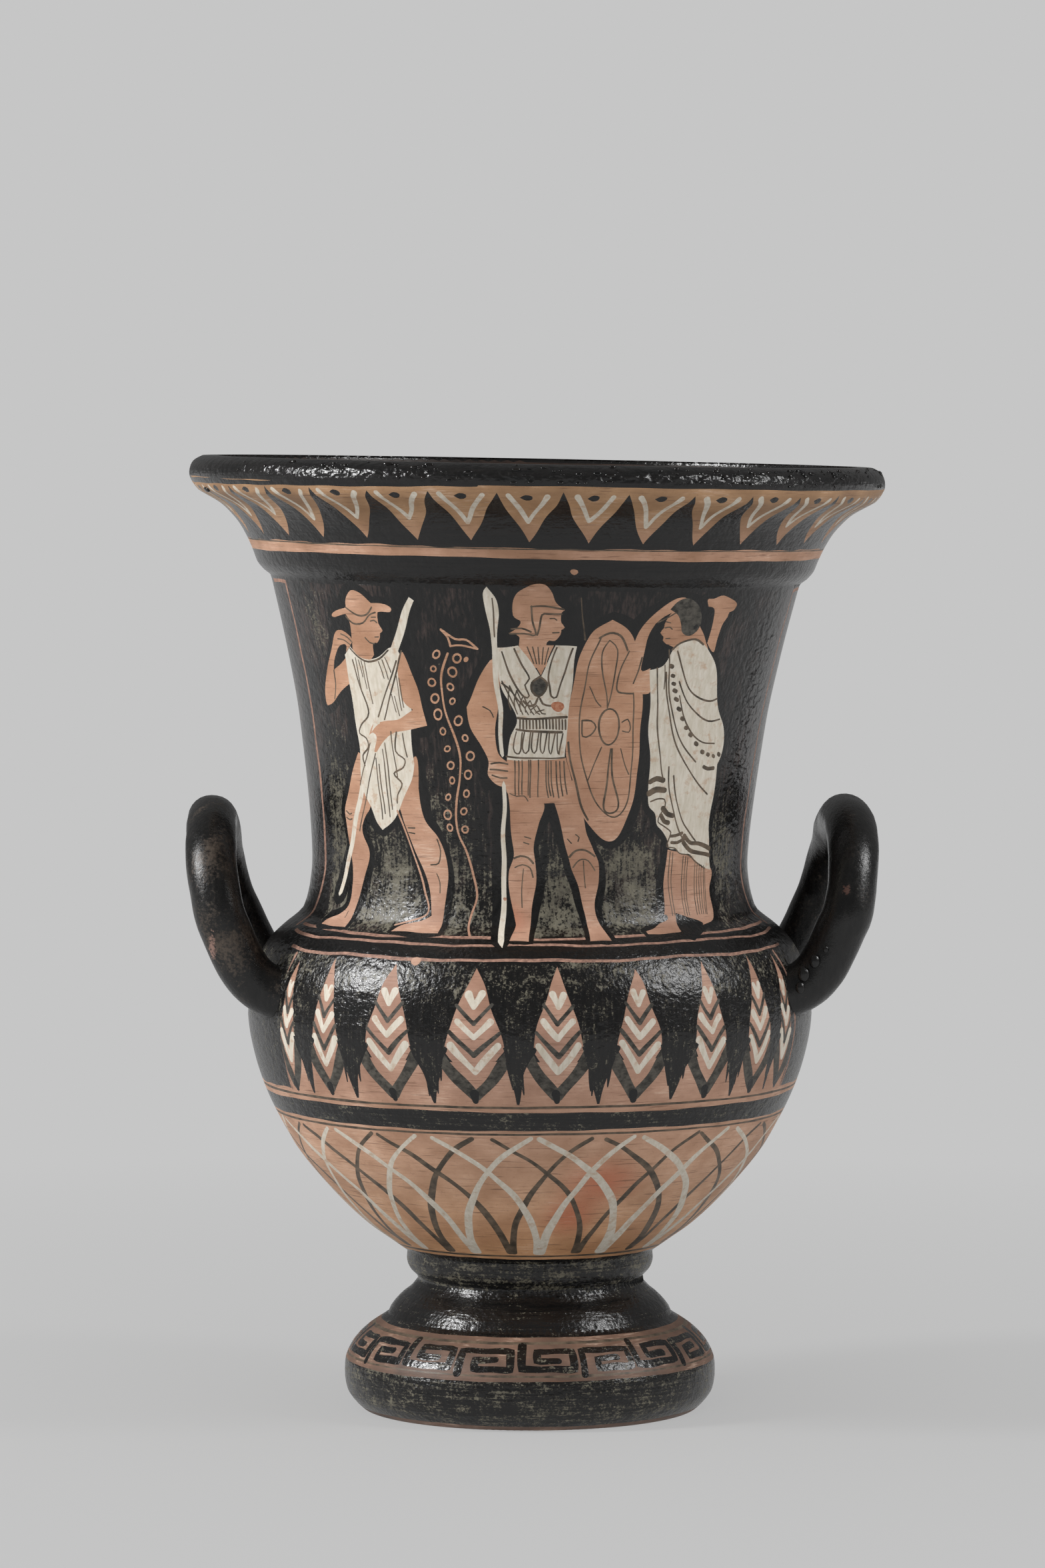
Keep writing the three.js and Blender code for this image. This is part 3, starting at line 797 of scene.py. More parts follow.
def elder():
    """An old man wrapped in a white mantle, one hand to his brow and the other raised."""
    limb([(66, 242), (64, 228), (62, 214.6), (56, 210.4), (50, 208.6)], [(50, 207.6)],
         [(66, 207.6), (91, 212), (93, 224), (94, 234)])
    limb([(34, 308.6), (34.4, 313), (37.4, 322), (40.6, 332), (46.4, 340.4), (53, 345.2), (59, 346.4)],
         [(63, 344)], [(56, 341.4), (50.6, 338.6)], [(47.4, 335.6), (44.8, 329), (43.8, 316.8)],
         [(47.6, 317.4), (48.6, 307.4)], [(41, 306.6)])
    limb([(73.6, 328), (74, 336), (73.6, 341.4)],
         [(70.4, 342.4), (69.6, 345.4), (72.6, 345.6), (77, 347.2), (83, 345.6), (86, 343.4), (84.8, 340.8),
          (82.6, 340.2)], [(82, 338.2), (79.6, 335), (78.6, 330), (78, 324)])
    limb([(57, 326), (54.4, 327), (52.4, 327.4)], [(51.8, 328.6), (52, 330), (50.4, 331.6)],
         [(51.6, 333.6), (51.8, 336.6), (54.6, 341), (62, 342)], [(68, 334), (72, 329.4), (74, 324)])
    limb([(52.6, 341.6), (56, 345), (61, 346.2), (65.4, 343.6), (67.6, 338.6), (67, 333.4), (63.6, 330.8),
          (60, 332.2), (58.6, 336), (56.6, 339.4)], slip=GREY)
    limb([(52.6, 327.8), (50.4, 329.8), (47.6, 331), (45, 326), (44.2, 317.4)],
         [(47.6, 317.6), (53, 320.4), (55.6, 325)], slip=CONTOUR)
    limb([(56.4, 324.6), (60, 327.8), (66.6, 329.4), (72, 327.4), (76, 324), (80.2, 318), (84, 308),
          (88, 299), (92.6, 292), (94.6, 285), (94, 280)],
         [(92.2, 277), (92, 264), (90.6, 252), (93, 243), (94.6, 233)],
         [(94.6, 232.4), (90, 233.2), (84, 236.6), (79, 239.6), (74, 239.4)],
         [(71, 242), (67, 242.4), (65.2, 246.4), (62, 249.6), (58.6, 252.4), (57, 257.6), (53.6, 261)],
         [(52.8, 266), (52.4, 275), (50.6, 290), (49.4, 303), (47.4, 316.6)], [(47.4, 316.6), (53, 318.8)],
         slip=WHITE)
    pen([(56.4, 325), (60, 327.8), (66.6, 329.2), (71.6, 327.2)], 0.9)
    pen([(59, 324.4), (62.6, 317), (68, 309), (74.6, 304.8), (81, 303.6), (85.4, 304.6)])
    pen([(62.4, 311.8), (68, 303.4), (75, 297.8), (82, 295.4), (89, 295.8)])
    pen([(63.6, 306), (67, 297), (73, 290), (80, 286.4), (87.6, 285.4)], 0.7)
    pen([(55, 325), (56.4, 316), (59, 304), (63.4, 293), (69.6, 284.6), (77, 278.6)], 0.7)
    pen([(55, 316), (58, 303), (62.6, 290), (70, 279), (80, 269.4), (87.4, 264.8)])
    pen([(50.6, 317.6), (52.6, 306), (54.6, 292), (57.6, 278), (60, 271.6)], 0.7)
    pen([(53.8, 319), (55, 313), (55.4, 309)], 0.5)
    pen([(62.2, 276.6), (64, 266), (68, 256), (73, 248), (75.4, 245.6)], 0.7)
    pen([(65.4, 272.6), (68, 263), (73, 254), (79, 248), (82.4, 245.4)], 0.7)
    beads = [(57, 318.4), (58.6, 314.4), (59.8, 311), (61, 308), (62.2, 304.4), (64, 300.4), (66.4, 296.4),
             (69.2, 292.4), (72.4, 289.4), (76.4, 285.8), (80.6, 282.4), (84.4, 281), (88.4, 280.2),
             (92.2, 281)]
    for x, z in beads:
        pen([(x - 0.5, z + 0.2), (x + 0.5, z - 0.2)], 1.7)
    for path, width in (
        ([(53.4, 270.4), (56.6, 271.8), (60.2, 271)], 2.1),
        ([(53.2, 265.8), (57, 267.4), (61.4, 266.8)], 2.3),
        ([(61, 259.4), (63.6, 257), (66.8, 256.4)], 2.2),
        ([(60.2, 256.6), (62.2, 254), (64.6, 253.4)], 1.9),
        ([(67, 247.8), (70, 248), (73.6, 248.8)], 1.5),
        ([(68, 245), (71.4, 244.8), (74.4, 246)], 1.6),
        ([(75.2, 247.6), (79, 244.6), (85, 244.2), (93.4, 241.4)], 1.9),
        ([(75, 244.6), (79, 241.4), (85, 240.2), (93.6, 238.6)], 1.9),
        ([(82.4, 276.2), (85.4, 275.2), (89.6, 275.4)], 1.7),
    ):
        pen(path, width)
    pen([(54.4, 262.6), (58, 263.6), (61.6, 263), (62, 260), (59.8, 257), (59, 253.8), (63, 251.6),
         (67, 249.4), (66, 246), (65.4, 243.2), (70, 242.4), (73, 239.8), (79, 239), (84, 236), (90, 233)],
        0.6)
    for x, top in ((67.4, 241), (69, 240.4), (75.2, 238.6), (76.8, 238.4), (78.2, 238), (83.4, 236),
                   (85, 235.4), (86.6, 235), (88, 234.4), (89.6, 234), (90.6, 233.4)):
        drift = (x - 78) * -0.08
        pen([(x, top), (x - 0.8, top - 12), (x - 1.4 + drift, 214)], 0.45)
    pen([(52, 333.8), (54, 334.2), (55.2, 333.4)], 0.6)
    pen([(51.8, 336.4), (54, 336)], 0.5)
    pen([(53, 329.4), (54.8, 329.6)], 0.5)
    pen([(48.4, 336.2), (52, 338), (55.4, 340.2)], 0.7)
    pen([(37.4, 324.6), (35, 317), (34, 308.8), (37.4, 307.2), (41, 306.8)], 0.7)
    pen([(41, 311), (42.6, 316), (43.4, 322)], 0.7)
    pen([(65.4, 334.4), (66, 334.8)], 1.6, CONTOUR)
    limb([(68.8, 214.8), (75, 213.4), (82.4, 210)], [(71.4, 207.4), (67.6, 206.8)], slip=CONTOUR)
    pen([(62.6, 213.4), (58.6, 212.6)], 2.4, CONTOUR)


def cloaked_youth(middle, facing):
    """For the plain side: a standing youth wrapped to the chin in a long cloak."""
    def mirrored(points):
        return [(middle + facing * across, z) for across, z in points]

    for slip, *runs in (
        (CLAY, [(-8, 212), (-9, 208.4)], [(4, 208.2), (1, 211), (-2, 216)]),
        (CLAY, [(4, 214), (4, 208.4)], [(16, 208.2), (12, 211), (9, 216)]),
        (CLAY, [(-3, 322), (-5, 330), (-4, 337), (1, 341), (6, 340), (8.6, 335.6)],
         [(8.4, 333), (9.6, 330.6), (8.2, 329.6), (7.6, 326.6), (4.6, 325.4), (4, 320)]),
        (CONTOUR,
         [(-4, 326), (-6.4, 333), (-4.6, 339), (1, 342.4), (6, 341.6), (7.6, 338.2), (2, 337), (-1, 332)]),
        (CLAY, [(-4, 324), (-12, 318), (-16, 304), (-17, 280), (-16, 250), (-13, 222), (-11, 214)],
         [(-11, 213), (0, 215), (13, 213)],
         [(13, 213), (14, 240), (15, 268), (19, 290), (17, 306), (11, 318), (5, 323)]),
    ):
        limb(*[mirrored(run) for run in runs], slip=slip)
    for width, line in (
        (LINE_WIDTH, [(8, 319), (2, 306), (-3, 292), (-4, 270), (-3, 246), (-2, 220)]),
        (LINE_WIDTH, [(14, 308), (6, 297), (0, 284), (-1, 262), (2, 240), (3, 220)]),
        (LINE_WIDTH, [(18, 292), (9, 285), (5, 272), (6, 250), (9, 226)]),
        (LINE_WIDTH, [(-8, 316), (-10, 296), (-10, 270), (-8, 240), (-7, 220)]),
        (0.6, [(7.4, 333.6), (5.6, 333.8)]),
        (0.9, [(-4, 323.6), (0, 321), (5, 322.6)]),
    ):
        pen(mirrored(line), width)


# One stain and three chips on the front: slip, across, up, size.
STAINS = ((RUST, 10, 301, 2.6), (CLAY, -11.2, 222.4, 0.9), (CLAY, 13.4, 356.6, 1.5), (CLAY, -43.6, 197.4, 2))


def stains():
    """A rust spot, and chips that show the clay."""
    for slip, x, z, size in STAINS:
        turns = [math.radians(t) for t in range(0, 360, 45)]
        fill(slip,
             [(x + size * (1 + 0.25 * math.sin(3 * t)) * math.cos(t),
               z + size * 0.8 * math.sin(t)) for t in turns])


def whole_painting():
    """Everything painted, in the order the painter laid it."""
    patterns()
    for turn in (0, math.pi):
        picture_frame(turn)
    traveller()
    vine()
    warrior()
    elder()
    paint_figures()
    paint_berries()
    for across, facing in ((HALF_BELT - 46, 1), (HALF_BELT, 1), (HALF_BELT + 46, -1)):
        cloaked_youth(across, facing)
    paint_figures()
    stains()


# The sheet: the painted outlines and an even mesh of points, joined into triangles

ROW_LONGEST = 2.6
ROW_TURN = math.radians(9)
INSIDE_LONGEST = 7
COLUMNS = 150


def unseen(place):
    """Whether a place along the profile lies in the foot's hollow or well inside the mouth."""
    return place < REST_EDGE - FOOT_RING_WIDTH or place > RIM_INSIDE + LIP_HEIGHT


def row_places():
    """Places along the profile for rows of points: close where it bends, wide where it runs straight."""
    heading = np.unwrap(np.arctan2(*np.gradient(LINE, axis=0).T[::-1]))
    rows = [0.0]
    last = heading[0]
    for place, angle in zip(ALONG, heading):
        longest = INSIDE_LONGEST if unseen(place) else ROW_LONGEST
        if place - rows[-1] > longest or abs(angle - last) > ROW_TURN and place - rows[-1] > 0.25:
            rows.append(float(place))
            last = angle
    if LENGTH - rows[-1] < 1:
        rows.pop()
    return rows + [float(LENGTH)]


def sheet_points():
    """The mesh's own points, and the edges that close the sheet at its two sides and its two ends."""
    points = []
    rims = []
    for k, place in enumerate(row_places()):
        radius = float(radius_at(place))
        columns = COLUMNS // 2 if unseen(place) else COLUMNS
        count = max(12, round(columns * min(1, radius / NECK_RADIUS + 0.25)))
        shift = 0.5 if k % 2 else 0.0
        first = len(points)
        points.append((-HALF_BELT, place))
        for c in range(1, count):
            points.append((-HALF_BELT + 2 * HALF_BELT * (c - shift) / (count - shift), place))
        points.append((HALF_BELT, place))
        rims.append((first, len(points) - 1))
    edges = []
    for (left, right), (next_left, next_right) in zip(rims[:-1], rims[1:]):
        edges += [(left, next_left), (right, next_right)]
    for left, right in (rims[0], rims[-1]):
        edges += [(i, i + 1) for i in range(left, right)]
    return points, edges


def inside_shape(points, ring):
    """Which of the points lie within a closed ring, counting how often the ring winds round each."""
    x, y = points[:, 0], points[:, 1]
    winding = np.zeros(len(points), int)
    for (x0, y0), (x1, y1) in zip(ring, np.roll(ring, -1, 0)):
        left = (x1 - x0) * (y - y0) - (x - x0) * (y1 - y0)
        winding += (y0 <= y) & (y1 > y) & (left > 0)
        winding -= (y0 > y) & (y1 <= y) & (left < 0)
    return winding != 0


def painted_sheet():
    """Triangulates the sheet along every painted outline: its points, triangles and the slip on each."""
    points, edges = sheet_points()
    turns = np.linspace(-HALF_BELT, HALF_BELT, 261)
    for item in bands:
        for edge in band_edges(turns, item):
            first = len(points)
            points += list(zip(turns, edge))
            edges += [(i, i + 1) for i in range(first, first + len(turns) - 1)]
    for ring, _ in shapes:
        first = len(points)
        points += [tuple(p) for p in ring]
        edges += [(first + i, first + (i + 1) % len(ring)) for i in range(len(ring))]
    verts, _, faces, *_ = delaunay_2d_cdt([Vector(p) for p in points], edges, [], 0, 1e-3, False)
    flat = np.array(verts)
    triangles = np.array(faces)
    middle = flat[triangles].mean(1)
    within = (np.abs(middle[:, 0]) < HALF_BELT) & (middle[:, 1] > 0) & (middle[:, 1] < LENGTH)
    triangles, middle = triangles[within], middle[within]
    slip = np.full(len(triangles), BLACK)
    for item in bands:
        low, high = band_edges(middle[:, 0], item)
        slip[(middle[:, 1] > low) & (middle[:, 1] < high)] = item[0]
    for ring, kind in shapes:
        low, high = ring.min(0), ring.max(0)
        near = np.flatnonzero(((middle > low) & (middle < high)).all(1))
        if len(near):
            slip[near[inside_shape(middle[near], ring)]] = kind
    slip[middle[:, 1] > RIM_INSIDE + 2] = INSIDE
    slip[middle[:, 1] < REST_EDGE - 1.2] = BARE
    return flat, triangles, slip


# Where the black has worn thin on the picture's ground: across, up, half width, half height, how much.
WORN_PATCHES = (
    (-101, 262, 12, 50, 0.5), (-99, 334, 8, 18, 0.5), (-66, 232, 16, 22, 0.45), (-102, 232, 12, 20, 0.4),
    (-47, 258, 9, 26, 0.4), (-33, 235, 10, 30, 0.3), (10, 222, 14, 22, 0.5), (45, 232, 20, 22, 0.5),
    (103, 240, 9, 26, 0.45), (-108, 335, 12, 14, 0.2), (20, 214, 60, 8, 0.2), (-60, 212, 60, 8, 0.2),
)

# Where the slip has run to a wrinkled skin: across, up, half width, half height.
WRINKLED_PATCHES = ((112, 300, 12, 46), (10, 395.5, 120, 3), (30, 56, 60, 4), (-112, 190, 14, 14),
                    (118, 190, 14, 14))

# Where the bare clay reddened in the kiln: across, up, half width, half height.
RED_PATCHES = ((20, 90, 13, 8), (32, 106, 16, 9), (-14, 214, 10, 6))


# How far the black has worn lower down: from one height to another, how much.
WEAR_BY_HEIGHT = ((127, 139, 0.58), (-1, 22, 0.7), (22, 38, 0.58), (38, 54.5, 0.46), (54.5, 69, 0.74))

# The heights of the picture's ground on the neck.
PICTURE_LOW = 207
PICTURE_HIGH = 350


def patches_at(across, z, patches):
    """How strongly each place lies in a list of soft-edged patches."""
    total = np.zeros(len(across))
    for px, pz, half_x, half_z, *amount in patches:
        near = np.exp(-(((across - px) / half_x) ** 2 + ((z - pz) / half_z) ** 2))
        total += near * (amount[0] if amount else 1)
    return total


def wear_and_sheen_at(across, z):
    """How far the black slip has worn, from 0 to 1. Low on the neck's picture ground the share is partly real
    wear and partly a painted highlight.
    """
    wear_and_sheen = np.full(len(z), 0.04)
    neck = (z > PICTURE_LOW) & (z < PICTURE_HIGH)
    # Low on the picture's ground the grey grows downwards: partly real wear, partly a painted highlight.
    wear_and_sheen[neck] = 0.2 + 0.36 * np.clip((292 - z[neck]) / 60, 0, 1)
    wear_and_sheen[neck & (np.abs(((across - 6) + HALF_BELT) % (2 * HALF_BELT) - HALF_BELT) > 116)] = 0.08
    belly = (z > 139) & (z < 198)
    wear_and_sheen[belly] = 0.54 + 0.14 * np.clip((z[belly] - 178) / 14, 0, 1)
    for low, high, amount in WEAR_BY_HEIGHT:
        wear_and_sheen[(z > low) & (z < high)] = amount
    return np.clip(wear_and_sheen + patches_at(across, z, WORN_PATCHES), 0, 1)


def marks_at(across, along):
    """What time and the kiln did to the slips and the clay at places on the sheet, each from 0 to 1. The worn
    share low on the neck is partly a painted highlight.
    """
    z = height_at(along)
    x = across - PICTURE_TURN * BELT
    outside = (along > REST_EDGE) & (along < RIM_INSIDE)
    return {
        "wear_and_sheen": wear_and_sheen_at(x, z),
        "thin": ((z > PICTURE_LOW) & (z < PICTURE_HIGH)).astype(float),
        "wrinkle": np.where(outside, np.clip(patches_at(x, z, WRINKLED_PATCHES), 0, 1), 0),
        "blush": np.clip(patches_at(x, z, RED_PATCHES), 0, 1),
    }


# Node helpers

def add(tree, kind, inputs=None, **settings):
    """Adds a node with its settings, and links or sets its inputs by name or number."""
    node = tree.nodes.new(kind)
    for name, value in settings.items():
        setattr(node, name, value)
    for key, value in (inputs or {}).items():
        if isinstance(value, bpy.types.NodeSocket):
            tree.links.new(value, node.inputs[key])
        else:
            node.inputs[key].default_value = value
    return node


def colour(text):
    """An sRGB hex value as the linear colour that the nodes work in."""
    values = [int(text[i:i + 2], 16) / 255 for i in (0, 2, 4)]
    return tuple(v / 12.92 if v <= 0.04045 else ((v + 0.055) / 1.055) ** 2.4 for v in values) + (1,)


def new_tree(name, sockets):
    """A Geometry Nodes tree with named inputs, and the node that gives them."""
    tree = bpy.data.node_groups.new(name, "GeometryNodeTree")
    tree.interface.new_socket("Geometry", in_out="OUTPUT", socket_type="NodeSocketGeometry")
    tree.interface.new_socket("Geometry", in_out="INPUT", socket_type="NodeSocketGeometry")
    for label, kind, value in sockets:
        socket = tree.interface.new_socket(label, in_out="INPUT", socket_type=kind)
        if value is not None:
            socket.default_value = value
    return tree, tree.nodes.new("NodeGroupInput")


def end_tree(tree, geometry, material):
    """Ends a tree: smooth, turned into plain mesh and given its material."""
    smooth = add(tree, "GeometryNodeSetShadeSmooth", {"Geometry": geometry})
    whole = add(tree, "GeometryNodeRealizeInstances", {"Geometry": smooth.outputs[0]})
    done = add(tree, "GeometryNodeSetMaterial", {"Geometry": whole.outputs[0], "Material": material})
    add(tree, "NodeGroupOutput", {"Geometry": done.outputs[0]})


def in_scene(name, data):
    """A new object at the origin, linked into the scene."""
    made = bpy.data.objects.new(name, data)
    bpy.context.scene.collection.objects.link(made)
    return made


def apply_tree(piece, tree, values, name):
    """Runs a tree on a piece and returns the plain mesh it gives, as a new object at the origin."""
    modifier = piece.modifiers.new(tree.name, "NODES")
    modifier.node_group = tree
    for item in tree.interface.items_tree:
        if item.in_out == "INPUT" and item.name in values:
            modifier[item.identifier] = values[item.name]
    piece.update_tag()
    bpy.context.view_layer.update()
    evaluated = piece.evaluated_get(bpy.context.evaluated_depsgraph_get())
    mesh = bpy.data.meshes.new_from_object(evaluated)
    mesh.name = name
    made = in_scene(name, mesh)
    bpy.data.objects.remove(piece)
    return made


# Materials

def blank_material(name):
    material = bpy.data.materials.new(name)
    material.use_nodes = True
    material.node_tree.nodes.clear()
    return material, material.node_tree


def new_material(name, ior=1.5):
    material, tree = blank_material(name)
    shader = add(tree, "ShaderNodeBsdfPrincipled", {"IOR": ior})
    add(tree, "ShaderNodeOutputMaterial", {"Surface": shader.outputs["BSDF"]})
    return material, tree, shader


def grain(tree, wide, tall=None, detail=3.0, roughness=0.55, seed=0.0):
    """A pattern whose features are about this many millimetres wide and tall on the standing krater."""
    place = add(tree, "ShaderNodeTexCoord").outputs["Object"]
    across, up = 1 / (wide * MM), 1 / ((tall or wide) * MM)
    mapped = add(tree, "ShaderNodeMapping", {
        "Vector": place, "Scale": (across, across, up), "Location": (seed, seed * 0.7, seed * 1.3),
    })
    noise = add(tree, "ShaderNodeTexNoise", {
        "Vector": mapped.outputs[0], "Scale": 1.0, "Detail": detail, "Roughness": roughness,
    })
    return noise.outputs["Fac"]


def place_along(tree, axis):
    """How far along one axis of the krater a point lies, in metres."""
    place = add(tree, "ShaderNodeTexCoord").outputs["Object"]
    return add(tree, "ShaderNodeSeparateXYZ", {"Vector": place}).outputs[axis]


def mingled(tree, *parts):
    """Adds up patterns, each by its share."""
    total = 0.0
    for pattern, share in parts:
        total = add(tree, "ShaderNodeMath", {0: pattern, 1: share, 2: total},
                    operation="MULTIPLY_ADD").outputs[0]
    return total


def laid_over(tree, base, tone, pattern, low, high, most=1.0):
    """The base with a tone laid over it where a pattern rises from low to high, and at most this strongly."""
    share = add(tree, "ShaderNodeMapRange", {
        "Value": pattern, "From Min": low, "From Max": high, "To Min": 0.0, "To Max": most,
    })
    mixed = add(tree, "ShaderNodeMix", {0: share.outputs["Result"], 6: base, 7: tone}, data_type="RGBA")
    return mixed.outputs[2]


def finish_surface(tree, shader, base, gloss, reliefs=()):
    """Gives a shader its colour, its roughness, even or along a pattern, and reliefs of real depths in mm."""
    tree.links.new(base, shader.inputs["Base Color"])
    if isinstance(gloss, float):
        shader.inputs["Roughness"].default_value = gloss
    else:
        pattern, low, high, smooth, rough = gloss
        ranged = add(tree, "ShaderNodeMapRange", {
            "Value": pattern, "From Min": low, "From Max": high, "To Min": smooth, "To Max": rough,
        })
        tree.links.new(ranged.outputs["Result"], shader.inputs["Roughness"])
    inputs = {"Strength": 1.0}
    for height, depth in reliefs:
        inputs.update({"Height": height, "Distance": depth * MM})
        inputs["Normal"] = add(tree, "ShaderNodeBump", inputs).outputs["Normal"]
    if reliefs:
        tree.links.new(inputs["Normal"], shader.inputs["Normal"])


# Deep and pale tones of the bare clay by height in mm, from the foot to just under the lip.
CLAY_TONES = (
    (36, "56443A", "7A5F50"), (72, "AE805B", "D3A278"), (108, "AE866A", "CEA68A"), (160, "947160", "B48F7C"),
    (300, "A67B5F", "C0967A"), (366, "9C775E", "BE967E"), (380, "8F6E50", "B08B68"),
)


def tone_by_height(tree, height, tones):
    """A colour that changes with height through a few tones."""
    share = add(tree, "ShaderNodeMath", {0: height, 1: TOP_Z * MM}, operation="DIVIDE").outputs[0]
    ramp = add(tree, "ShaderNodeValToRGB", {"Fac": share})
    stops = ramp.color_ramp.elements
    while len(stops) < len(tones):
        stops.new(0.5)
    for stop, (z, _) in zip(stops, tones):
        stop.position = z / TOP_Z
    for stop, (_, tone) in zip(stops, tones):
        stop.color = colour(tone)
    return ramp.outputs["Color"]


def fired_clay():
    """Terracotta thrown on the wheel and left bare: matt-satin, lined by the wheel, rubbed pale in places."""
    material, tree, shader = new_material("fired_clay", 1.4)
    height = place_along(tree, "Z")
    lines = grain(tree, 26, 0.9, 4, 0.65, 1.0)
    blotches = grain(tree, 26, 18, 4, 0.6, 4.0)
    grit = grain(tree, 0.9, 0.8, 2, 0.6, 9.0)
    rubs = grain(tree, 9, 0.7, 4, 0.7, 31.0)
    scratches = grain(tree, 14, 0.6, 2, 0.5, 37.0)
    reddened = add(tree, "ShaderNodeAttribute", attribute_name="blush").outputs["Fac"]
    deep = tone_by_height(tree, height, [(z, low) for z, low, _ in CLAY_TONES])
    pale = tone_by_height(tree, height, [(z, high) for z, _, high in CLAY_TONES])
    base = laid_over(tree, deep, pale, blotches, 0.36, 0.62)
    base = laid_over(tree, base, deep, lines, 0.38, 0.68, 0.4)
    base = laid_over(tree, base, colour("B5684A"), reddened, 0.1, 1.0, 0.8)
    base = laid_over(tree, base, colour("75503A"), grit, 0.6, 0.8, 0.4)
    base = laid_over(tree, base, colour("6B4E3C"), scratches, 0.61, 0.69, 0.6)
    scuffed = add(tree, "ShaderNodeMath", {0: rubs, 1: blotches}, operation="MULTIPLY").outputs[0]
    base = laid_over(tree, base, colour("D6BAA5"), scuffed, 0.31, 0.44, 0.5)
    finish_surface(tree, shader, base, (lines, 0.3, 0.7, 0.46, 0.6), [(grit, 0.05), (lines, 0.12)])
    return material


def brush_marks(tree, seed):
    """Streaks of a brush: upright on the neck and belly, and round the krater on its foot and lip."""
    upright = grain(tree, 1.3, 16, 4, 0.62, seed)
    around = grain(tree, 22, 0.9, 4, 0.62, seed + 3)
    height = place_along(tree, "Z")
    foot = add(tree, "ShaderNodeMath", {0: height, 1: BELLY_Z * MM * 0.83}, operation="LESS_THAN").outputs[0]
    lip = add(tree, "ShaderNodeMath", {0: height, 1: NECK_TOP_Z * MM}, operation="GREATER_THAN").outputs[0]
    turned = add(tree, "ShaderNodeMath", {0: foot, 1: lip}, operation="MAXIMUM").outputs[0]
    return add(tree, "ShaderNodeMix", {0: turned, 2: upright, 3: around}, data_type="FLOAT").outputs[0]


def black_slip():
    """Iron-rich slip fired black and glossy. Brushed thin it turns brown, and worn it shows grey specks, laid
    thicker low on the neck as a painted highlight.
    """
    material, tree, shader = new_material("black_slip")
    brush = brush_marks(tree, 2.0)
    patches = grain(tree, 16, 26, 4, 0.6, 6.0)
    pits = grain(tree, 1.6, 1.5, 2, 0.5, 11.0)
    clouds = grain(tree, 6, 6, 5, 0.74, 3.0)
    specks = grain(tree, 1.2, 1.0, 3, 0.75, 8.0)
    folds = grain(tree, 3.6, 2.6, 1, 0.5, 41.0)
    dents = grain(tree, 4.2, 3.0, 2, 0.5, 61.0)
    worn, thinned, wrinkled = (
        add(tree, "ShaderNodeAttribute", attribute_name=name).outputs["Fac"]
        for name in ("wear_and_sheen", "thin", "wrinkle")
    )
    base = laid_over(tree, colour("0D0D0D"), colour("191716"), brush, 0.35, 0.7)
    thin = add(tree, "ShaderNodeMath", {0: patches, 1: brush}, operation="MULTIPLY").outputs[0]
    thin = add(tree, "ShaderNodeMath", {0: thin, 1: thinned}, operation="MULTIPLY").outputs[0]
    base = laid_over(tree, base, colour("403430"), thin, 0.25, 0.38, 0.75)
    # Grey specks where the slip wore through. Low on the neck they are partly a painted highlight.
    worn_specks_and_sheen = mingled(tree, (specks, 0.4), (clouds, 0.3), (brush, 0.3), (worn, 0.22))
    tint = laid_over(tree, colour("47433A"), colour("757060"), clouds, 0.35, 0.65)
    base = laid_over(tree, base, tint, worn_specks_and_sheen, 0.67, 0.73, 0.85)
    skin = add(tree, "ShaderNodeMath", {0: folds, 1: wrinkled}, operation="MULTIPLY").outputs[0]
    finish_surface(tree, shader, base, (worn_specks_and_sheen, 0.67, 0.73, 0.23, 0.5), [
        (skin, 1.6), (dents, 0.5), (pits, 0.2), (worn_specks_and_sheen, -0.1), (brush, 0.22),
    ])
    return material


def contour_slip():
    """The same slip laid on a second time, thick, in a band that hugs the figures: dense, dark and glossy."""
    material, tree, shader = new_material("contour_slip")
    brush = grain(tree, 3, 5, 4, 0.6, 2.0)
    pits = grain(tree, 1.6, 1.5, 2, 0.5, 11.0)
    base = laid_over(tree, colour("0B0B0B"), colour("151413"), brush, 0.35, 0.7)
    finish_surface(tree, shader, base, (brush, 0.3, 0.7, 0.22, 0.34), [(pits, 0.26), (brush, 0.16)])
    return material


def white_slip():
    """White slip laid over the black: chalky, with brush marks, and rubbed through to the clay in spots."""
    material, tree, shader = new_material("white_slip", 1.4)
    brush = grain(tree, 1.6, 9, 4, 0.65, 12.0)
    dirt = grain(tree, 5, 4, 5, 0.7, 14.0)
    base = laid_over(tree, colour("BCB3A2"), colour("D3CCC0"), brush, 0.3, 0.7)
    base = laid_over(tree, base, colour("B08F73"), dirt, 0.54, 0.66, 0.6)
    finish_surface(tree, shader, base, 0.6, [(brush, 0.12)])
    return material


def thinned_slip():
    """Black slip thinned with water for the inner lines: brown, darker where the brush paused."""
    material, tree, shader = new_material("thinned_slip", 1.4)
    load = grain(tree, 5, 5, 3, 0.6, 17.0)
    base = laid_over(tree, colour("6A5B4C"), colour("3F382F"), load, 0.35, 0.65)
    finish_surface(tree, shader, base, 0.45, [(load, 0.05)])
    return material


def plain_slip(name, first, second, size, roughness):
    """A slip or clay of two mingled tones, for washes, stains, thin lines, the inside and the underside."""
    material, tree, shader = new_material(name, 1.4)
    cloud = grain(tree, size, size * 0.7, 5, 0.68, len(name))
    base = laid_over(tree, colour(first), colour(second), cloud, 0.38, 0.62)
    gloss = (cloud, 0.3, 0.7, roughness - 0.08, roughness + 0.08)
    finish_surface(tree, shader, base, gloss, [(cloud, 0.08)])
    return material


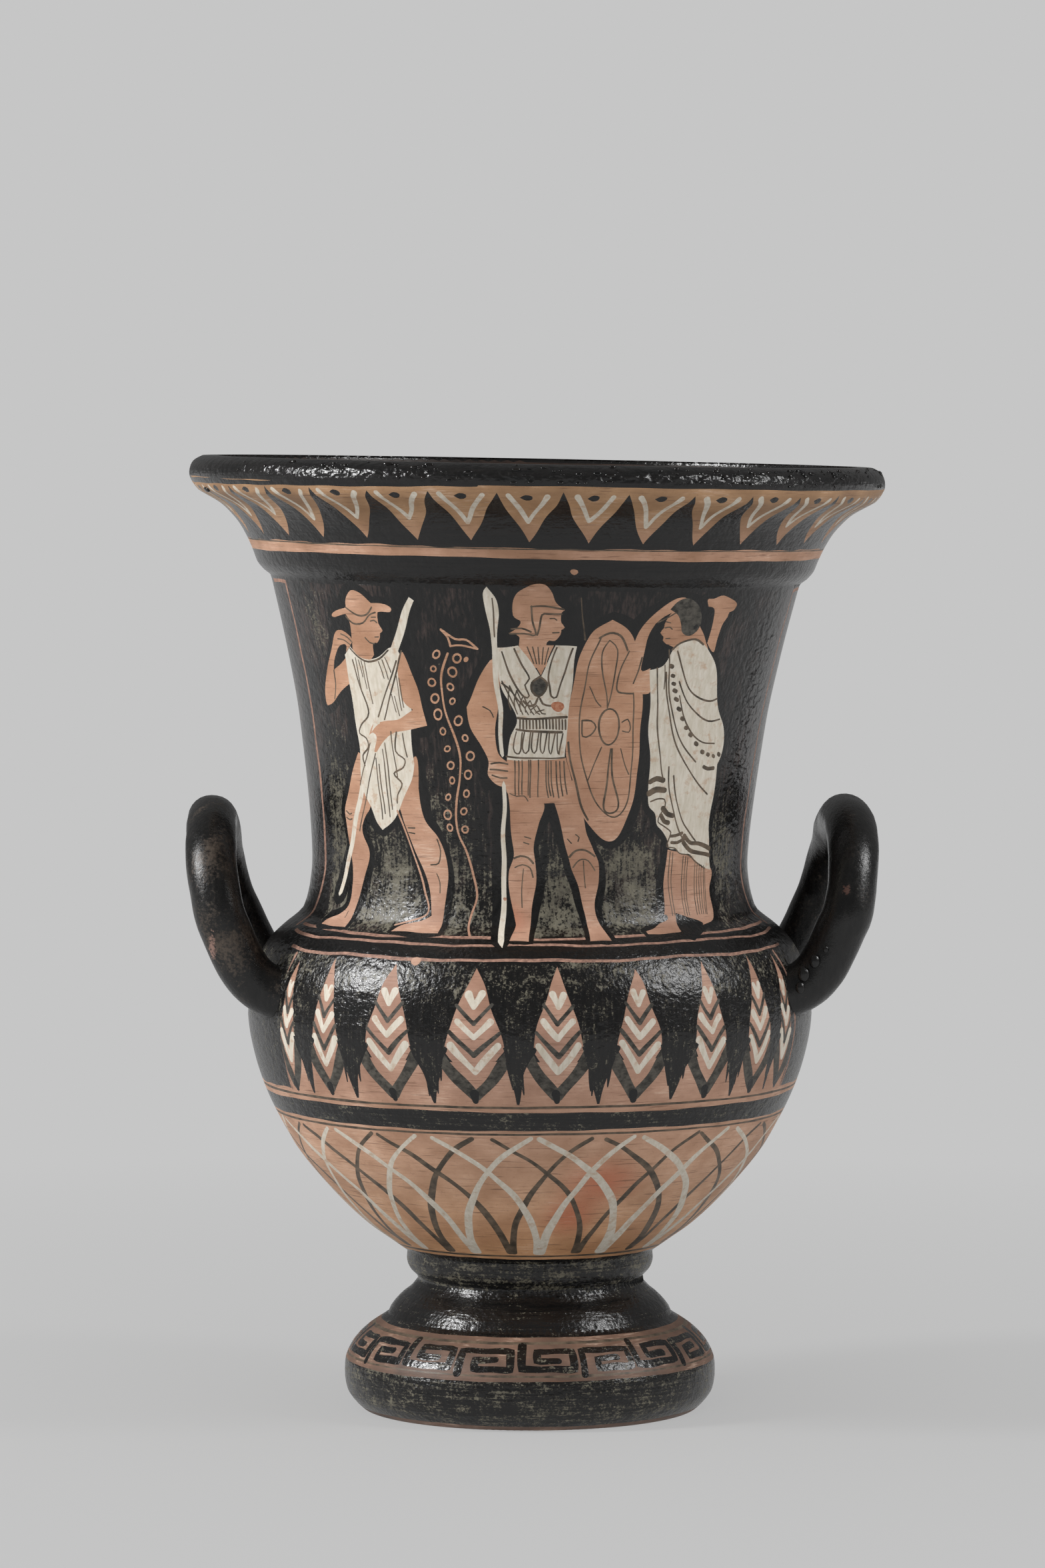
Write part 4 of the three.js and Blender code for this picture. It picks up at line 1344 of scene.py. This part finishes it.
def slips():
    """One material for each slip, in the order of the slips' numbers."""
    return [
        black_slip(),
        contour_slip(),
        fired_clay(),
        white_slip(),
        thinned_slip(),
        plain_slip("grey_wash", "2C2A26", "55514A", 3, 0.42),
        plain_slip("rust_stain", "9A5A3E", "B78468", 1.5, 0.6),
        plain_slip("inner_slip", "14110F", "33251E", 26, 0.42),
        plain_slip("bare_underside", "8C5F48", "A97B60", 14, 0.75),
        plain_slip("reserved_line", "74584C", "A5806F", 2, 0.55),
    ]


def varnish():
    """Black slip that boiled up in the kiln into hard glassy drops."""
    material, tree, shader = new_material("blistered_slip")
    tone = grain(tree, 6, 6, 2, 0.5, 51.0)
    base = laid_over(tree, colour("080808"), colour("171412"), tone, 0.35, 0.65)
    finish_surface(tree, shader, base, (tone, 0.3, 0.7, 0.1, 0.2))
    return material


# Turned body

def wheel_tree(materials):
    """Wraps a flat sheet round a turned profile, leans the neck and gives each part of the sheet its slip."""
    sockets = [
        ("Profile", "NodeSocketObject", None),
        ("Belt Radius", "NodeSocketFloat", 0.1),
        ("Neck Lean", "NodeSocketFloat", 0.0),
        ("Lean Starts", "NodeSocketFloat", 0.0),
        ("Lean Ends", "NodeSocketFloat", 1.0),
        ("Lean Pivot", "NodeSocketFloat", 0.0),
    ]
    tree, given = new_tree("wheel-thrown body", sockets)
    flat = add(tree, "ShaderNodeSeparateXYZ", {0: add(tree, "GeometryNodeInputPosition").outputs[0]})
    profile = add(tree, "GeometryNodeObjectInfo", {"Object": given.outputs["Profile"]},
                  transform_space="ORIGINAL")
    sample = add(tree, "GeometryNodeSampleCurve", {
        "Curves": profile.outputs["Geometry"], "Length": flat.outputs["Y"],
    }, mode="LENGTH", use_all_curves=True)
    angle = add(tree, "ShaderNodeMath", {
        0: flat.outputs["X"], 1: given.outputs["Belt Radius"],
    }, operation="DIVIDE").outputs[0]
    height = add(tree, "ShaderNodeSeparateXYZ", {0: sample.outputs["Position"]}).outputs["Z"]
    tilt = add(tree, "ShaderNodeMapRange", {
        "Value": height, "From Min": given.outputs["Lean Starts"],
        "From Max": given.outputs["Lean Ends"], "To Min": 0.0, "To Max": given.outputs["Neck Lean"],
    }, interpolation_type="SMOOTHSTEP").outputs["Result"]
    pivot = add(tree, "ShaderNodeCombineXYZ", {"Z": given.outputs["Lean Pivot"]}).outputs[0]
    outward = add(tree, "ShaderNodeVectorRotate", {
        "Vector": sample.outputs["Tangent"], "Angle": math.pi / 2,
    }, rotation_type="X_AXIS").outputs[0]
    placed = []
    for vector, centre in ((sample.outputs["Position"], pivot), (outward, (0, 0, 0))):
        turned = add(tree, "ShaderNodeVectorRotate", {"Vector": vector, "Angle": angle},
                     rotation_type="Z_AXIS")
        leaned = add(tree, "ShaderNodeVectorRotate", {
            "Vector": turned.outputs[0], "Center": centre, "Angle": tilt,
        }, rotation_type="Y_AXIS")
        placed.append(leaned.outputs[0])
    marked = add(tree, "GeometryNodeStoreNamedAttribute", {
        "Geometry": given.outputs["Geometry"], "Name": "facing", "Value": placed[1],
    }, data_type="FLOAT_VECTOR", domain="POINT")
    moved = add(tree, "GeometryNodeSetPosition", {"Geometry": marked.outputs[0], "Position": placed[0]})
    closed = add(tree, "GeometryNodeMergeByDistance", {"Geometry": moved.outputs[0], "Distance": 0.01 * MM})
    whole = add(tree, "GeometryNodeRealizeInstances", {"Geometry": closed.outputs[0]}).outputs[0]
    kind = add(tree, "GeometryNodeInputNamedAttribute", {"Name": "slip"}, data_type="INT").outputs[0]
    for number, material in enumerate(materials):
        chosen = add(tree, "FunctionNodeCompare", {2: kind, 3: number}, data_type="INT", operation="EQUAL")
        whole = add(tree, "GeometryNodeSetMaterial", {
            "Geometry": whole, "Selection": chosen.outputs[0], "Material": material,
        }).outputs[0]
    add(tree, "NodeGroupOutput", {"Geometry": whole})
    return tree


def curve_through(points, name):
    """A curve object through points given in millimetres."""
    data = bpy.data.curves.new(name, "CURVE")
    data.dimensions = "3D"
    spline = data.splines.new("POLY")
    spline.points.add(len(points) - 1)
    spots = np.ones((len(points), 4))
    spots[:, :3] = np.asarray(points) * MM
    spline.points.foreach_set("co", spots.ravel())
    return in_scene(name, data)


FRONT_HALF = math.radians(85)
FRONT_SHARE = 0.66


def bake_layout(mesh, across, along):
    """Lays the sheet out for baking, with most of the room for the painted front."""
    front = FRONT_HALF * BELT
    turn = np.interp(across, [-HALF_BELT, -front, front, HALF_BELT],
                     [0, (1 - FRONT_SHARE) / 2, (1 + FRONT_SHARE) / 2, 1])
    rise = np.interp(along, [0, REST_EDGE - 1.2, REST_EDGE, LIP_EDGE + 1, RIM_INSIDE + 2, LENGTH],
                     [0.0, 0.07, 0.08, 0.86, 0.89, 1.0])
    layer = mesh.uv_layers.new(name="OFBake")
    corners = np.zeros(len(mesh.loops), int)
    mesh.loops.foreach_get("vertex_index", corners)
    layer.data.foreach_set("uv", np.stack([turn[corners], rise[corners]], 1).ravel())


def turned_body(materials):
    """The painted body: foot, bowl, neck and lip, hollow inside and under the foot."""
    all_bands()
    whole_painting()
    flat, triangles, slip = painted_sheet()
    used = np.unique(triangles)
    fresh = np.zeros(len(flat), int)
    fresh[used] = np.arange(len(used))
    flat, triangles = flat[used], fresh[triangles]
    mesh = bpy.data.meshes.new("sheet")
    mesh.from_pydata(np.hstack([flat * MM, np.zeros((len(flat), 1))]).tolist(), [], triangles.tolist())
    mesh.attributes.new("slip", "INT", "FACE").data.foreach_set("value", slip.astype(np.int32))
    for name, amount in marks_at(flat[:, 0], flat[:, 1]).items():
        mesh.attributes.new(name, "FLOAT", "POINT").data.foreach_set("value", amount.astype(np.float32))
    bake_layout(mesh, flat[:, 0], flat[:, 1])
    sheet = in_scene("sheet", mesh)
    front = np.stack([np.zeros(len(LINE)), -LINE[:, 0], LINE[:, 1]], 1)
    curve = curve_through(front, "profile")
    body = apply_tree(sheet, wheel_tree(materials), {
        "Profile": curve, "Belt Radius": BELT * MM, "Neck Lean": NECK_LEAN,
        "Lean Starts": (NECK_Z - LEAN_LENGTH / 2) * MM, "Lean Ends": (NECK_Z + LEAN_LENGTH / 2) * MM,
        "Lean Pivot": NECK_Z * MM,
    }, "painted_body")
    bpy.data.objects.remove(curve)
    count = len(body.data.vertices)
    facing = np.zeros(count * 3)
    body.data.attributes["facing"].data.foreach_get("vector", facing)
    body.data.shade_smooth()
    body.data.normals_split_custom_set_from_vertices(facing.reshape(-1, 3).tolist())
    body.data.attributes.remove(body.data.attributes["facing"])
    body.data.attributes.remove(body.data.attributes["slip"])
    return body


# Handles

HANDLE_ROUND = 28
HANDLE_RINGS = 110
HANDLE_UNEVENNESS = 0.55
ROOT_SPREAD = 0.07
ROOT_REACH = 18
ROOTS_DRAWN_IN = 0.08
PATH_STEP = 0.1

# How deep in the wall the path's root and the handle's ends lie, as shares of the wall.
ROOT_DEPTH = 0.6
SEAT_DEPTH = 0.45

# A handle's leg from root to arch, as shares of its way outwards and up.
LEG_SHARES = ((-0.25, 0.08), (0.14, 0.156), (0.43, 0.3), (0.63, 0.52), (0.775, 0.75), (0.9, 1))


def handle_path(side):
    """The middle of a handle's roll of clay, from its front root over the arch to its rear root."""
    half = HANDLE_SPREAD / 2
    root_z = BELLY_Z + HANDLE_ROOT_ABOVE_BELLY
    arch_z = root_z + HANDLE_RISE - HANDLE_ARCH_HEIGHT
    root_x = math.sqrt(BELLY_RADIUS ** 2 - half ** 2) - WALL * ROOT_DEPTH

    def leg(y, inset):
        return [
            (
                root_x + (HANDLE_REACH - root_x) * out - inset * math.sin(math.pi * (0.25 + 0.5 * up)),
                y * (1 - ROOTS_DRAWN_IN * (1 - up)),
                root_z + (arch_z - root_z) * up,
            )
            for out, up in LEG_SHARES
        ]

    arch = []
    for degrees in (30, 60, 90, 120, 150):
        turn = math.radians(degrees)
        rearward = (1 - math.cos(turn)) / 2
        out = HANDLE_REACH - REAR_LEG_INSET * 0.5 * rearward + ARCH_LEAN * (math.sin(turn) - 0.5)
        arch.append((out, -half * math.cos(turn), arch_z + HANDLE_ARCH_HEIGHT * math.sin(turn)))
    path = leg(-half, 0) + arch + leg(half, REAR_LEG_INSET)[::-1]
    return [(side * x, y, z) for x, y, z in path]


def handle_tree(material):
    """Runs a round roll of clay along a path, uneven from the hand and spread where it is luted on."""
    sockets = [
        ("Diameter", "NodeSocketFloat", 0.02),
        ("Root Spread", "NodeSocketFloat", 0.0),
        ("Root Reach", "NodeSocketFloat", 0.01),
        ("Unevenness", "NodeSocketFloat", 0.0),
        ("Rings", "NodeSocketInt", 80),
        ("Sides", "NodeSocketInt", 24),
        ("Seed", "NodeSocketFloat", 0.0),
    ]
    tree, given = new_tree("rolled handle", sockets)
    path = add(tree, "GeometryNodeResampleCurve", {
        "Curve": given.outputs["Geometry"], "Count": given.outputs["Rings"],
    })
    length = add(tree, "GeometryNodeCurveLength", {"Curve": given.outputs["Geometry"]}).outputs["Length"]
    run = add(tree, "GeometryNodeSplineParameter").outputs["Length"]
    left_over = add(tree, "ShaderNodeMath", {0: length, 1: run}, operation="SUBTRACT").outputs[0]
    from_end = add(tree, "ShaderNodeMath", {0: run, 1: left_over}, operation="MINIMUM").outputs[0]
    spread = add(tree, "ShaderNodeMath", {0: given.outputs["Root Spread"], 1: 1.0},
                 operation="ADD").outputs[0]
    scale = add(tree, "ShaderNodeMapRange", {
        "Value": from_end, "From Min": 0.0, "From Max": given.outputs["Root Reach"], "To Min": spread,
        "To Max": 1.0,
    }, interpolation_type="SMOOTHSTEP").outputs["Result"]
    radius = add(tree, "ShaderNodeMath", {0: given.outputs["Diameter"], 1: 0.5},
                 operation="MULTIPLY").outputs[0]
    ring = add(tree, "GeometryNodeCurvePrimitiveCircle",
               {"Resolution": given.outputs["Sides"], "Radius": radius})
    tube = add(tree, "GeometryNodeCurveToMesh", {
        "Curve": path.outputs[0], "Profile Curve": ring.outputs[0], "Scale": scale, "Fill Caps": True,
    })
    seeded = add(tree, "ShaderNodeVectorMath", {
        0: add(tree, "GeometryNodeInputPosition").outputs[0], 1: given.outputs["Seed"],
    }, operation="ADD")
    noise = add(tree, "ShaderNodeTexNoise", {
        "Vector": seeded.outputs[0], "Scale": 45.0, "Detail": 1.5,
    }, normalize=False)
    push = add(tree, "ShaderNodeMath", {
        0: noise.outputs["Fac"], 1: given.outputs["Unevenness"],
    }, operation="MULTIPLY").outputs[0]
    offset = add(tree, "ShaderNodeVectorMath", {
        0: add(tree, "GeometryNodeInputNormal").outputs[0], "Scale": push,
    }, operation="SCALE")
    moved = add(tree, "GeometryNodeSetPosition", {"Geometry": tube.outputs[0], "Offset": offset.outputs[0]})
    end_tree(tree, moved.outputs[0], material)
    return tree


def seat_on_wall(piece):
    """Holds the handle's ends inside the thickness of the wall, so that nothing shows in the bowl."""
    mesh = piece.data
    spots = np.zeros(len(mesh.vertices) * 3)
    mesh.vertices.foreach_get("co", spots)
    spots = spots.reshape(-1, 3)
    depth = np.interp(spots[:, 2] / MM, OUTSIDE_Z, LINE[OUTSIDE, 0]) * MM - SEAT_DEPTH * WALL * MM
    out = np.hypot(spots[:, 0], spots[:, 1])
    push = np.maximum(1, depth / out)
    spots[:, 0] *= push
    spots[:, 1] *= push
    mesh.vertices.foreach_set("co", spots.ravel())
    mesh.update()


def handle(side, material):
    """One whole handle. Its ends are sunk in the wall, as the potter pressed them on."""
    points = handle_path(side)
    line = np.array([points[0], *points, points[-1]], float)
    dense = []
    for a, b, c, d in zip(line[:-3], line[1:-2], line[2:-1], line[3:]):
        dense += [between(a, b, c, d, t) for t in np.arange(0, 1, PATH_STEP)]
    dense.append(line[-1])
    name = "right_handle" if side > 0 else "left_handle"
    made = apply_tree(curve_through(dense, "path"), handle_tree(material), {
        "Diameter": HANDLE_DIAMETER * MM, "Root Spread": ROOT_SPREAD, "Root Reach": ROOT_REACH * MM,
        "Unevenness": HANDLE_UNEVENNESS * MM, "Rings": HANDLE_RINGS, "Sides": HANDLE_ROUND,
        "Seed": 0.3 + side * 0.2,
    }, name)
    seat_on_wall(made)
    return made


def nearness(tree, place, reach):
    """How near a point lies to the middle of a round patch, in mm: 1 there, 0 at its edge and beyond."""
    here = add(tree, "ShaderNodeTexCoord").outputs["Object"]
    scale = [1 / (r * MM) for r in reach]
    mapped = add(tree, "ShaderNodeMapping", {
        "Vector": here, "Scale": scale, "Location": [-p * MM * s for p, s in zip(place, scale)],
    })
    gap = add(tree, "ShaderNodeVectorMath", {0: mapped.outputs[0]}, operation="LENGTH").outputs["Value"]
    return add(tree, "ShaderNodeMapRange", {"Value": gap, "To Min": 1.0, "To Max": 0.0}).outputs["Result"]


def handle_slip():
    """The handles' black slip: brushed on thick and glossy, rubbed brown where hands took hold."""
    material, tree, shader = new_material("handle_slip")
    brush = grain(tree, 2.2, 12, 4, 0.6, 21.0)
    rubbed = grain(tree, 18, 24, 4, 0.62, 24.0)
    specks = grain(tree, 1.4, 1.4, 3, 0.75, 27.0)
    left = add(tree, "ShaderNodeMath", {0: place_along(tree, "X"), 1: 0.0}, operation="LESS_THAN").outputs[0]
    base = laid_over(tree, colour("0B0B0B"), colour("181716"), brush, 0.35, 0.7)
    worn = mingled(tree, (specks, 0.45), (rubbed, 0.55), (left, 0.06))
    base = laid_over(tree, base, colour("554A40"), worn, 0.58, 0.7, 0.7)
    streak = mingled(tree, (nearness(tree, (-133.5, -53, 197), (2.6, 9, 15)), 0.5), (specks, 0.8))
    base = laid_over(tree, base, colour("96766A"), streak, 0.6, 0.74, 0.7)
    rust = mingled(tree, (nearness(tree, (129.5, -54, 223), (3.4, 6, 3.6)), 0.5), (specks, 0.9))
    base = laid_over(tree, base, colour("6A4C42"), rust, 0.68, 0.8, 0.6)
    finish_surface(tree, shader, base, (worn, 0.45, 0.65, 0.2, 0.42), [(specks, 0.16), (brush, 0.2)])
    return material


# Drops of blistered slip

LENGTH_SEED = 40


def drop_tree(material):
    """Scatters small flattened drops over a patch of the surface, longer the way the wheel turned."""
    sockets = [
        ("Per Square Metre", "NodeSocketFloat", 1000.0),
        ("Smallest", "NodeSocketFloat", 0.0005),
        ("Largest", "NodeSocketFloat", 0.001),
        ("Stretch", "NodeSocketFloat", 2.6),
        ("Flatness", "NodeSocketFloat", 0.6),
        ("Gathered", "NodeSocketFloat", 0.5),
        ("Seed", "NodeSocketInt", 1),
    ]
    tree, given = new_tree("blistered drops", sockets)
    clumps = add(tree, "ShaderNodeTexNoise", {
        "Vector": add(tree, "GeometryNodeInputPosition").outputs[0], "Scale": 90.0, "Detail": 2.0,
    })
    crowd = add(tree, "ShaderNodeMapRange", {
        "Value": clumps.outputs["Fac"], "From Min": given.outputs["Gathered"], "From Max": 0.7,
        "To Min": 0.0, "To Max": given.outputs["Per Square Metre"],
    })
    spread = add(tree, "GeometryNodeDistributePointsOnFaces", {
        "Mesh": given.outputs["Geometry"], "Seed": given.outputs["Seed"], "Density": crowd.outputs["Result"],
    })
    drop = add(tree, "GeometryNodeMeshUVSphere", {"Segments": 8, "Rings": 5, "Radius": 1.0})
    size = add(tree, "FunctionNodeRandomValue", {
        2: given.outputs["Smallest"], 3: given.outputs["Largest"], "Seed": given.outputs["Seed"],
    }, data_type="FLOAT").outputs[1]
    length = add(tree, "FunctionNodeRandomValue", {
        2: 1.0, 3: given.outputs["Stretch"], "Seed": LENGTH_SEED,
    }, data_type="FLOAT").outputs[1]
    form = add(tree, "ShaderNodeCombineXYZ", {"X": length, "Y": 1.0, "Z": given.outputs["Flatness"]})
    shape = add(tree, "ShaderNodeVectorMath", {0: form.outputs[0], "Scale": size}, operation="SCALE")
    around = add(tree, "ShaderNodeVectorMath", {
        0: (0, 0, 1), 1: add(tree, "GeometryNodeInputPosition").outputs[0],
    }, operation="CROSS_PRODUCT")
    turned = add(tree, "FunctionNodeAlignRotationToVector", {
        "Rotation": spread.outputs["Rotation"], "Vector": around.outputs[0],
    }, axis="X", pivot_axis="Z")
    drops = add(tree, "GeometryNodeInstanceOnPoints", {
        "Points": spread.outputs["Points"], "Instance": drop.outputs["Mesh"],
        "Rotation": turned.outputs[0], "Scale": shape.outputs[0],
    })
    end_tree(tree, drops.outputs[0], material)
    return tree


def on_krater(across, along):
    """Places on the leaning krater, in metres, for places on the sheet."""
    radius, z = radius_at(along), height_at(along)
    turn = across / BELT
    x, y = radius * np.sin(turn), -radius * np.cos(turn)
    share = np.clip((z - NECK_Z + LEAN_LENGTH / 2) / LEAN_LENGTH, 0, 1)
    tilt = NECK_LEAN * share * share * (3 - 2 * share)
    return np.stack([x + tilt * (z - NECK_Z), y, z - tilt * x], 1) * MM


def patch(low, high, left, right, steps_up=4, steps_across=60):
    """A patch of the krater's outside between two heights and two places across the neck's belt."""
    across = np.linspace(left, right, steps_across + 1) + PICTURE_TURN * BELT
    along = np.linspace(at_height(low), at_height(high), steps_up + 1)
    grid_across, grid_along = np.meshgrid(across, along)
    spots = on_krater(grid_across.ravel(), grid_along.ravel())
    width = steps_across + 1
    faces = [(k, k + 1, k + width + 1, k + width) for row in range(steps_up)
             for k in range(row * width, row * width + steps_across)]
    mesh = bpy.data.meshes.new("patch")
    mesh.from_pydata(spots.tolist(), [], faces)
    return in_scene("patch", mesh)


# Spreads of drops: name, heights, reach across, how many to the square metre, sizes in mm, gathering, seed.
DROPS = (
    ("lip_drops_upper", 395.4, 399.6, -90, 150, 130000, 0.4, 1.1, 0.46, 3),
    ("lip_drops_lower", 392.4, 394, -50, 145, 170000, 0.4, 0.95, 0.45, 8),
    ("lip_drops_left", 394, 399, -160, -90, 40000, 0.3, 0.7, 0.5, 12),
    ("lip_drips", 384.6, 386.4, -146, -128, 60000, 0.9, 1.5, 0.3, 17),
    ("waist_drops", 52.6, 56.4, -40, 110, 160000, 0.3, 0.75, 0.44, 21),
    ("back_drops", 389, 398, 190, 420, 20000, 0.3, 0.8, 0.52, 33),
)


def slip_drops(material):
    """All spreads of drops on the lip and at the waist."""
    tree = drop_tree(material)
    made = []
    for name, low, high, left, right, crowd, small, large, gathered, seed in DROPS:
        made.append(apply_tree(patch(low, high, left, right), tree, {
            "Per Square Metre": float(crowd), "Smallest": small * MM, "Largest": large * MM,
            "Gathered": gathered, "Seed": seed,
        }, name))
    return made


# Blisters of slip at the foot of the right handle's front leg: place and radius in mm.
BLISTERS = ((116.5, -52.9, 193, 2.3), (112, -52.3, 187.5, 2.6), (110.5, -52.9, 182, 2),
            (121, -53.8, 198, 1.2))

# Each is flattened against the clay and longer upwards.
BLISTER_FORM = (1, 0.7, 1.25, 1)


def root_blisters(material):
    """Round drops of slip that gathered where the right handle meets the belly."""
    shell = bmesh.new()
    for x, y, z, size in BLISTERS:
        place = Matrix.Translation((x * MM, y * MM, z * MM)) @ Matrix.Diagonal(BLISTER_FORM)
        bmesh.ops.create_icosphere(shell, subdivisions=3, radius=size * MM, matrix=place)
    mesh = bpy.data.meshes.new("root_blisters")
    shell.to_mesh(mesh)
    shell.free()
    mesh.shade_smooth()
    mesh.materials.append(material)
    return in_scene("root_blisters", mesh)


# Camera, light and floor

SENSOR_LENGTH = 36
FOCAL_LENGTH = 148.47
CAMERA_DISTANCE = 2.7255
CAMERA_HEIGHT = 0.4257
CAMERA_ASIDE = -0.0031
CAMERA_PITCH = math.radians(3.398)


def camera():
    data = bpy.data.cameras.new("camera")
    data.sensor_fit = "VERTICAL"
    data.sensor_height = SENSOR_LENGTH
    data.lens = FOCAL_LENGTH
    eye = in_scene("camera", data)
    around = Matrix.Rotation(PICTURE_TURN, 4, "Z")
    stand = Matrix.Translation((CAMERA_ASIDE, -CAMERA_DISTANCE, CAMERA_HEIGHT))
    aim = Matrix.Rotation(math.radians(90) - CAMERA_PITCH, 4, "X")
    eye.matrix_world = around @ stand @ aim
    bpy.context.scene.camera = eye


BACKDROP = "C6C6C6"
PAPER = "A3A3A3"
FLOOR_RADIUS = 9.0
ROOM_LIGHT = 0.29
AIM_HEIGHT = 0.2

# The floor's own glow under the krater, and how far from it the fade into the backdrop starts and ends.
FLOOR_GLOW = 0.7
FADE_STARTS = 0.08
FADE_ENDS = 0.9

# Soft boxes: name, azimuth, elevation, distance, width, height, power, whether the gloss mirrors it.
SOFT_BOXES = (
    ("left soft box", -77, 30, 1.7, 0.3, 0.6, 28, True),
    ("right soft box", 70, 33, 1.7, 0.35, 0.7, 14, True),
    ("front fill", -14, 8, 2.8, 1.8, 1.2, 19, False),
    ("overhead", 0, 84, 2.4, 2.6, 2.6, 23, False),
    ("ceiling", 0, 84, 2.4, 2.6, 2.6, 10, True),
)


def floor():
    """A wide pale floor that fades into the tone of the backdrop well away from the krater."""
    bpy.ops.mesh.primitive_circle_add(vertices=96, radius=FLOOR_RADIUS, fill_type="NGON")
    ground = bpy.context.object
    ground.name = "floor"
    material, tree = blank_material("seamless_paper")
    distance = add(tree, "ShaderNodeVectorMath", {0: add(tree, "ShaderNodeTexCoord").outputs["Object"]},
                   operation="LENGTH").outputs["Value"]
    paper = add(tree, "ShaderNodeBsdfDiffuse", {"Color": colour(PAPER)})
    glow = add(tree, "ShaderNodeEmission", {"Color": colour(BACKDROP), "Strength": 1.0})
    fade = add(tree, "ShaderNodeMapRange", {
        "Value": distance, "From Min": FADE_STARTS, "From Max": FADE_ENDS, "To Min": FLOOR_GLOW,
        "To Max": 1.0,
    })
    mix = add(tree, "ShaderNodeMixShader",
              {0: fade.outputs["Result"], 1: paper.outputs[0], 2: glow.outputs[0]})
    add(tree, "ShaderNodeOutputMaterial", {"Surface": mix.outputs[0]})
    ground.data.materials.append(material)


def soft_box(name, azimuth, elevation, distance, width, height, power, mirrored):
    """A soft box aimed at the krater. Azimuth 0 is on the camera's side, and it grows to its right."""
    data = bpy.data.lights.new(name, "AREA")
    data.shape = "RECTANGLE"
    data.size, data.size_y = width, height
    data.energy = power
    lamp = in_scene(name, data)
    turn, tilt = math.radians(azimuth), math.radians(elevation)
    away = Vector((math.sin(turn) * math.cos(tilt), -math.cos(turn) * math.cos(tilt), math.sin(tilt)))
    lamp.location = Vector((0, 0, AIM_HEIGHT)) + away * distance
    lamp.rotation_euler = (-away).to_track_quat("-Z", "Y").to_euler()
    lamp.visible_glossy = mirrored


def studio():
    """An even grey backdrop, and a dim room that gives the glossy black something dark to mirror."""
    world = bpy.data.worlds.new("studio")
    world.use_nodes = True
    bpy.context.scene.world = world
    tree = world.node_tree
    tree.nodes.clear()
    seen = add(tree, "ShaderNodeBackground", {"Color": colour(BACKDROP), "Strength": 1.0})
    room = add(tree, "ShaderNodeBackground", {"Color": colour(BACKDROP), "Strength": ROOM_LIGHT})
    ray = add(tree, "ShaderNodeLightPath").outputs["Is Camera Ray"]
    mix = add(tree, "ShaderNodeMixShader", {0: ray, 1: room.outputs[0], 2: seen.outputs[0]})
    add(tree, "ShaderNodeOutputWorld", {"Surface": mix.outputs[0]})
    for box in SOFT_BOXES:
        soft_box(*box)
    bpy.context.scene.view_settings.view_transform = "Standard"


# Assembly

camera()
floor()
studio()
body = turned_body(slips())
grips = handle_slip()
glassy = varnish()
pieces = [body, handle(-1, grips), handle(1, grips), root_blisters(grips)] + slip_drops(glassy)

for piece in pieces:
    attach(piece, "root")
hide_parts("krater")
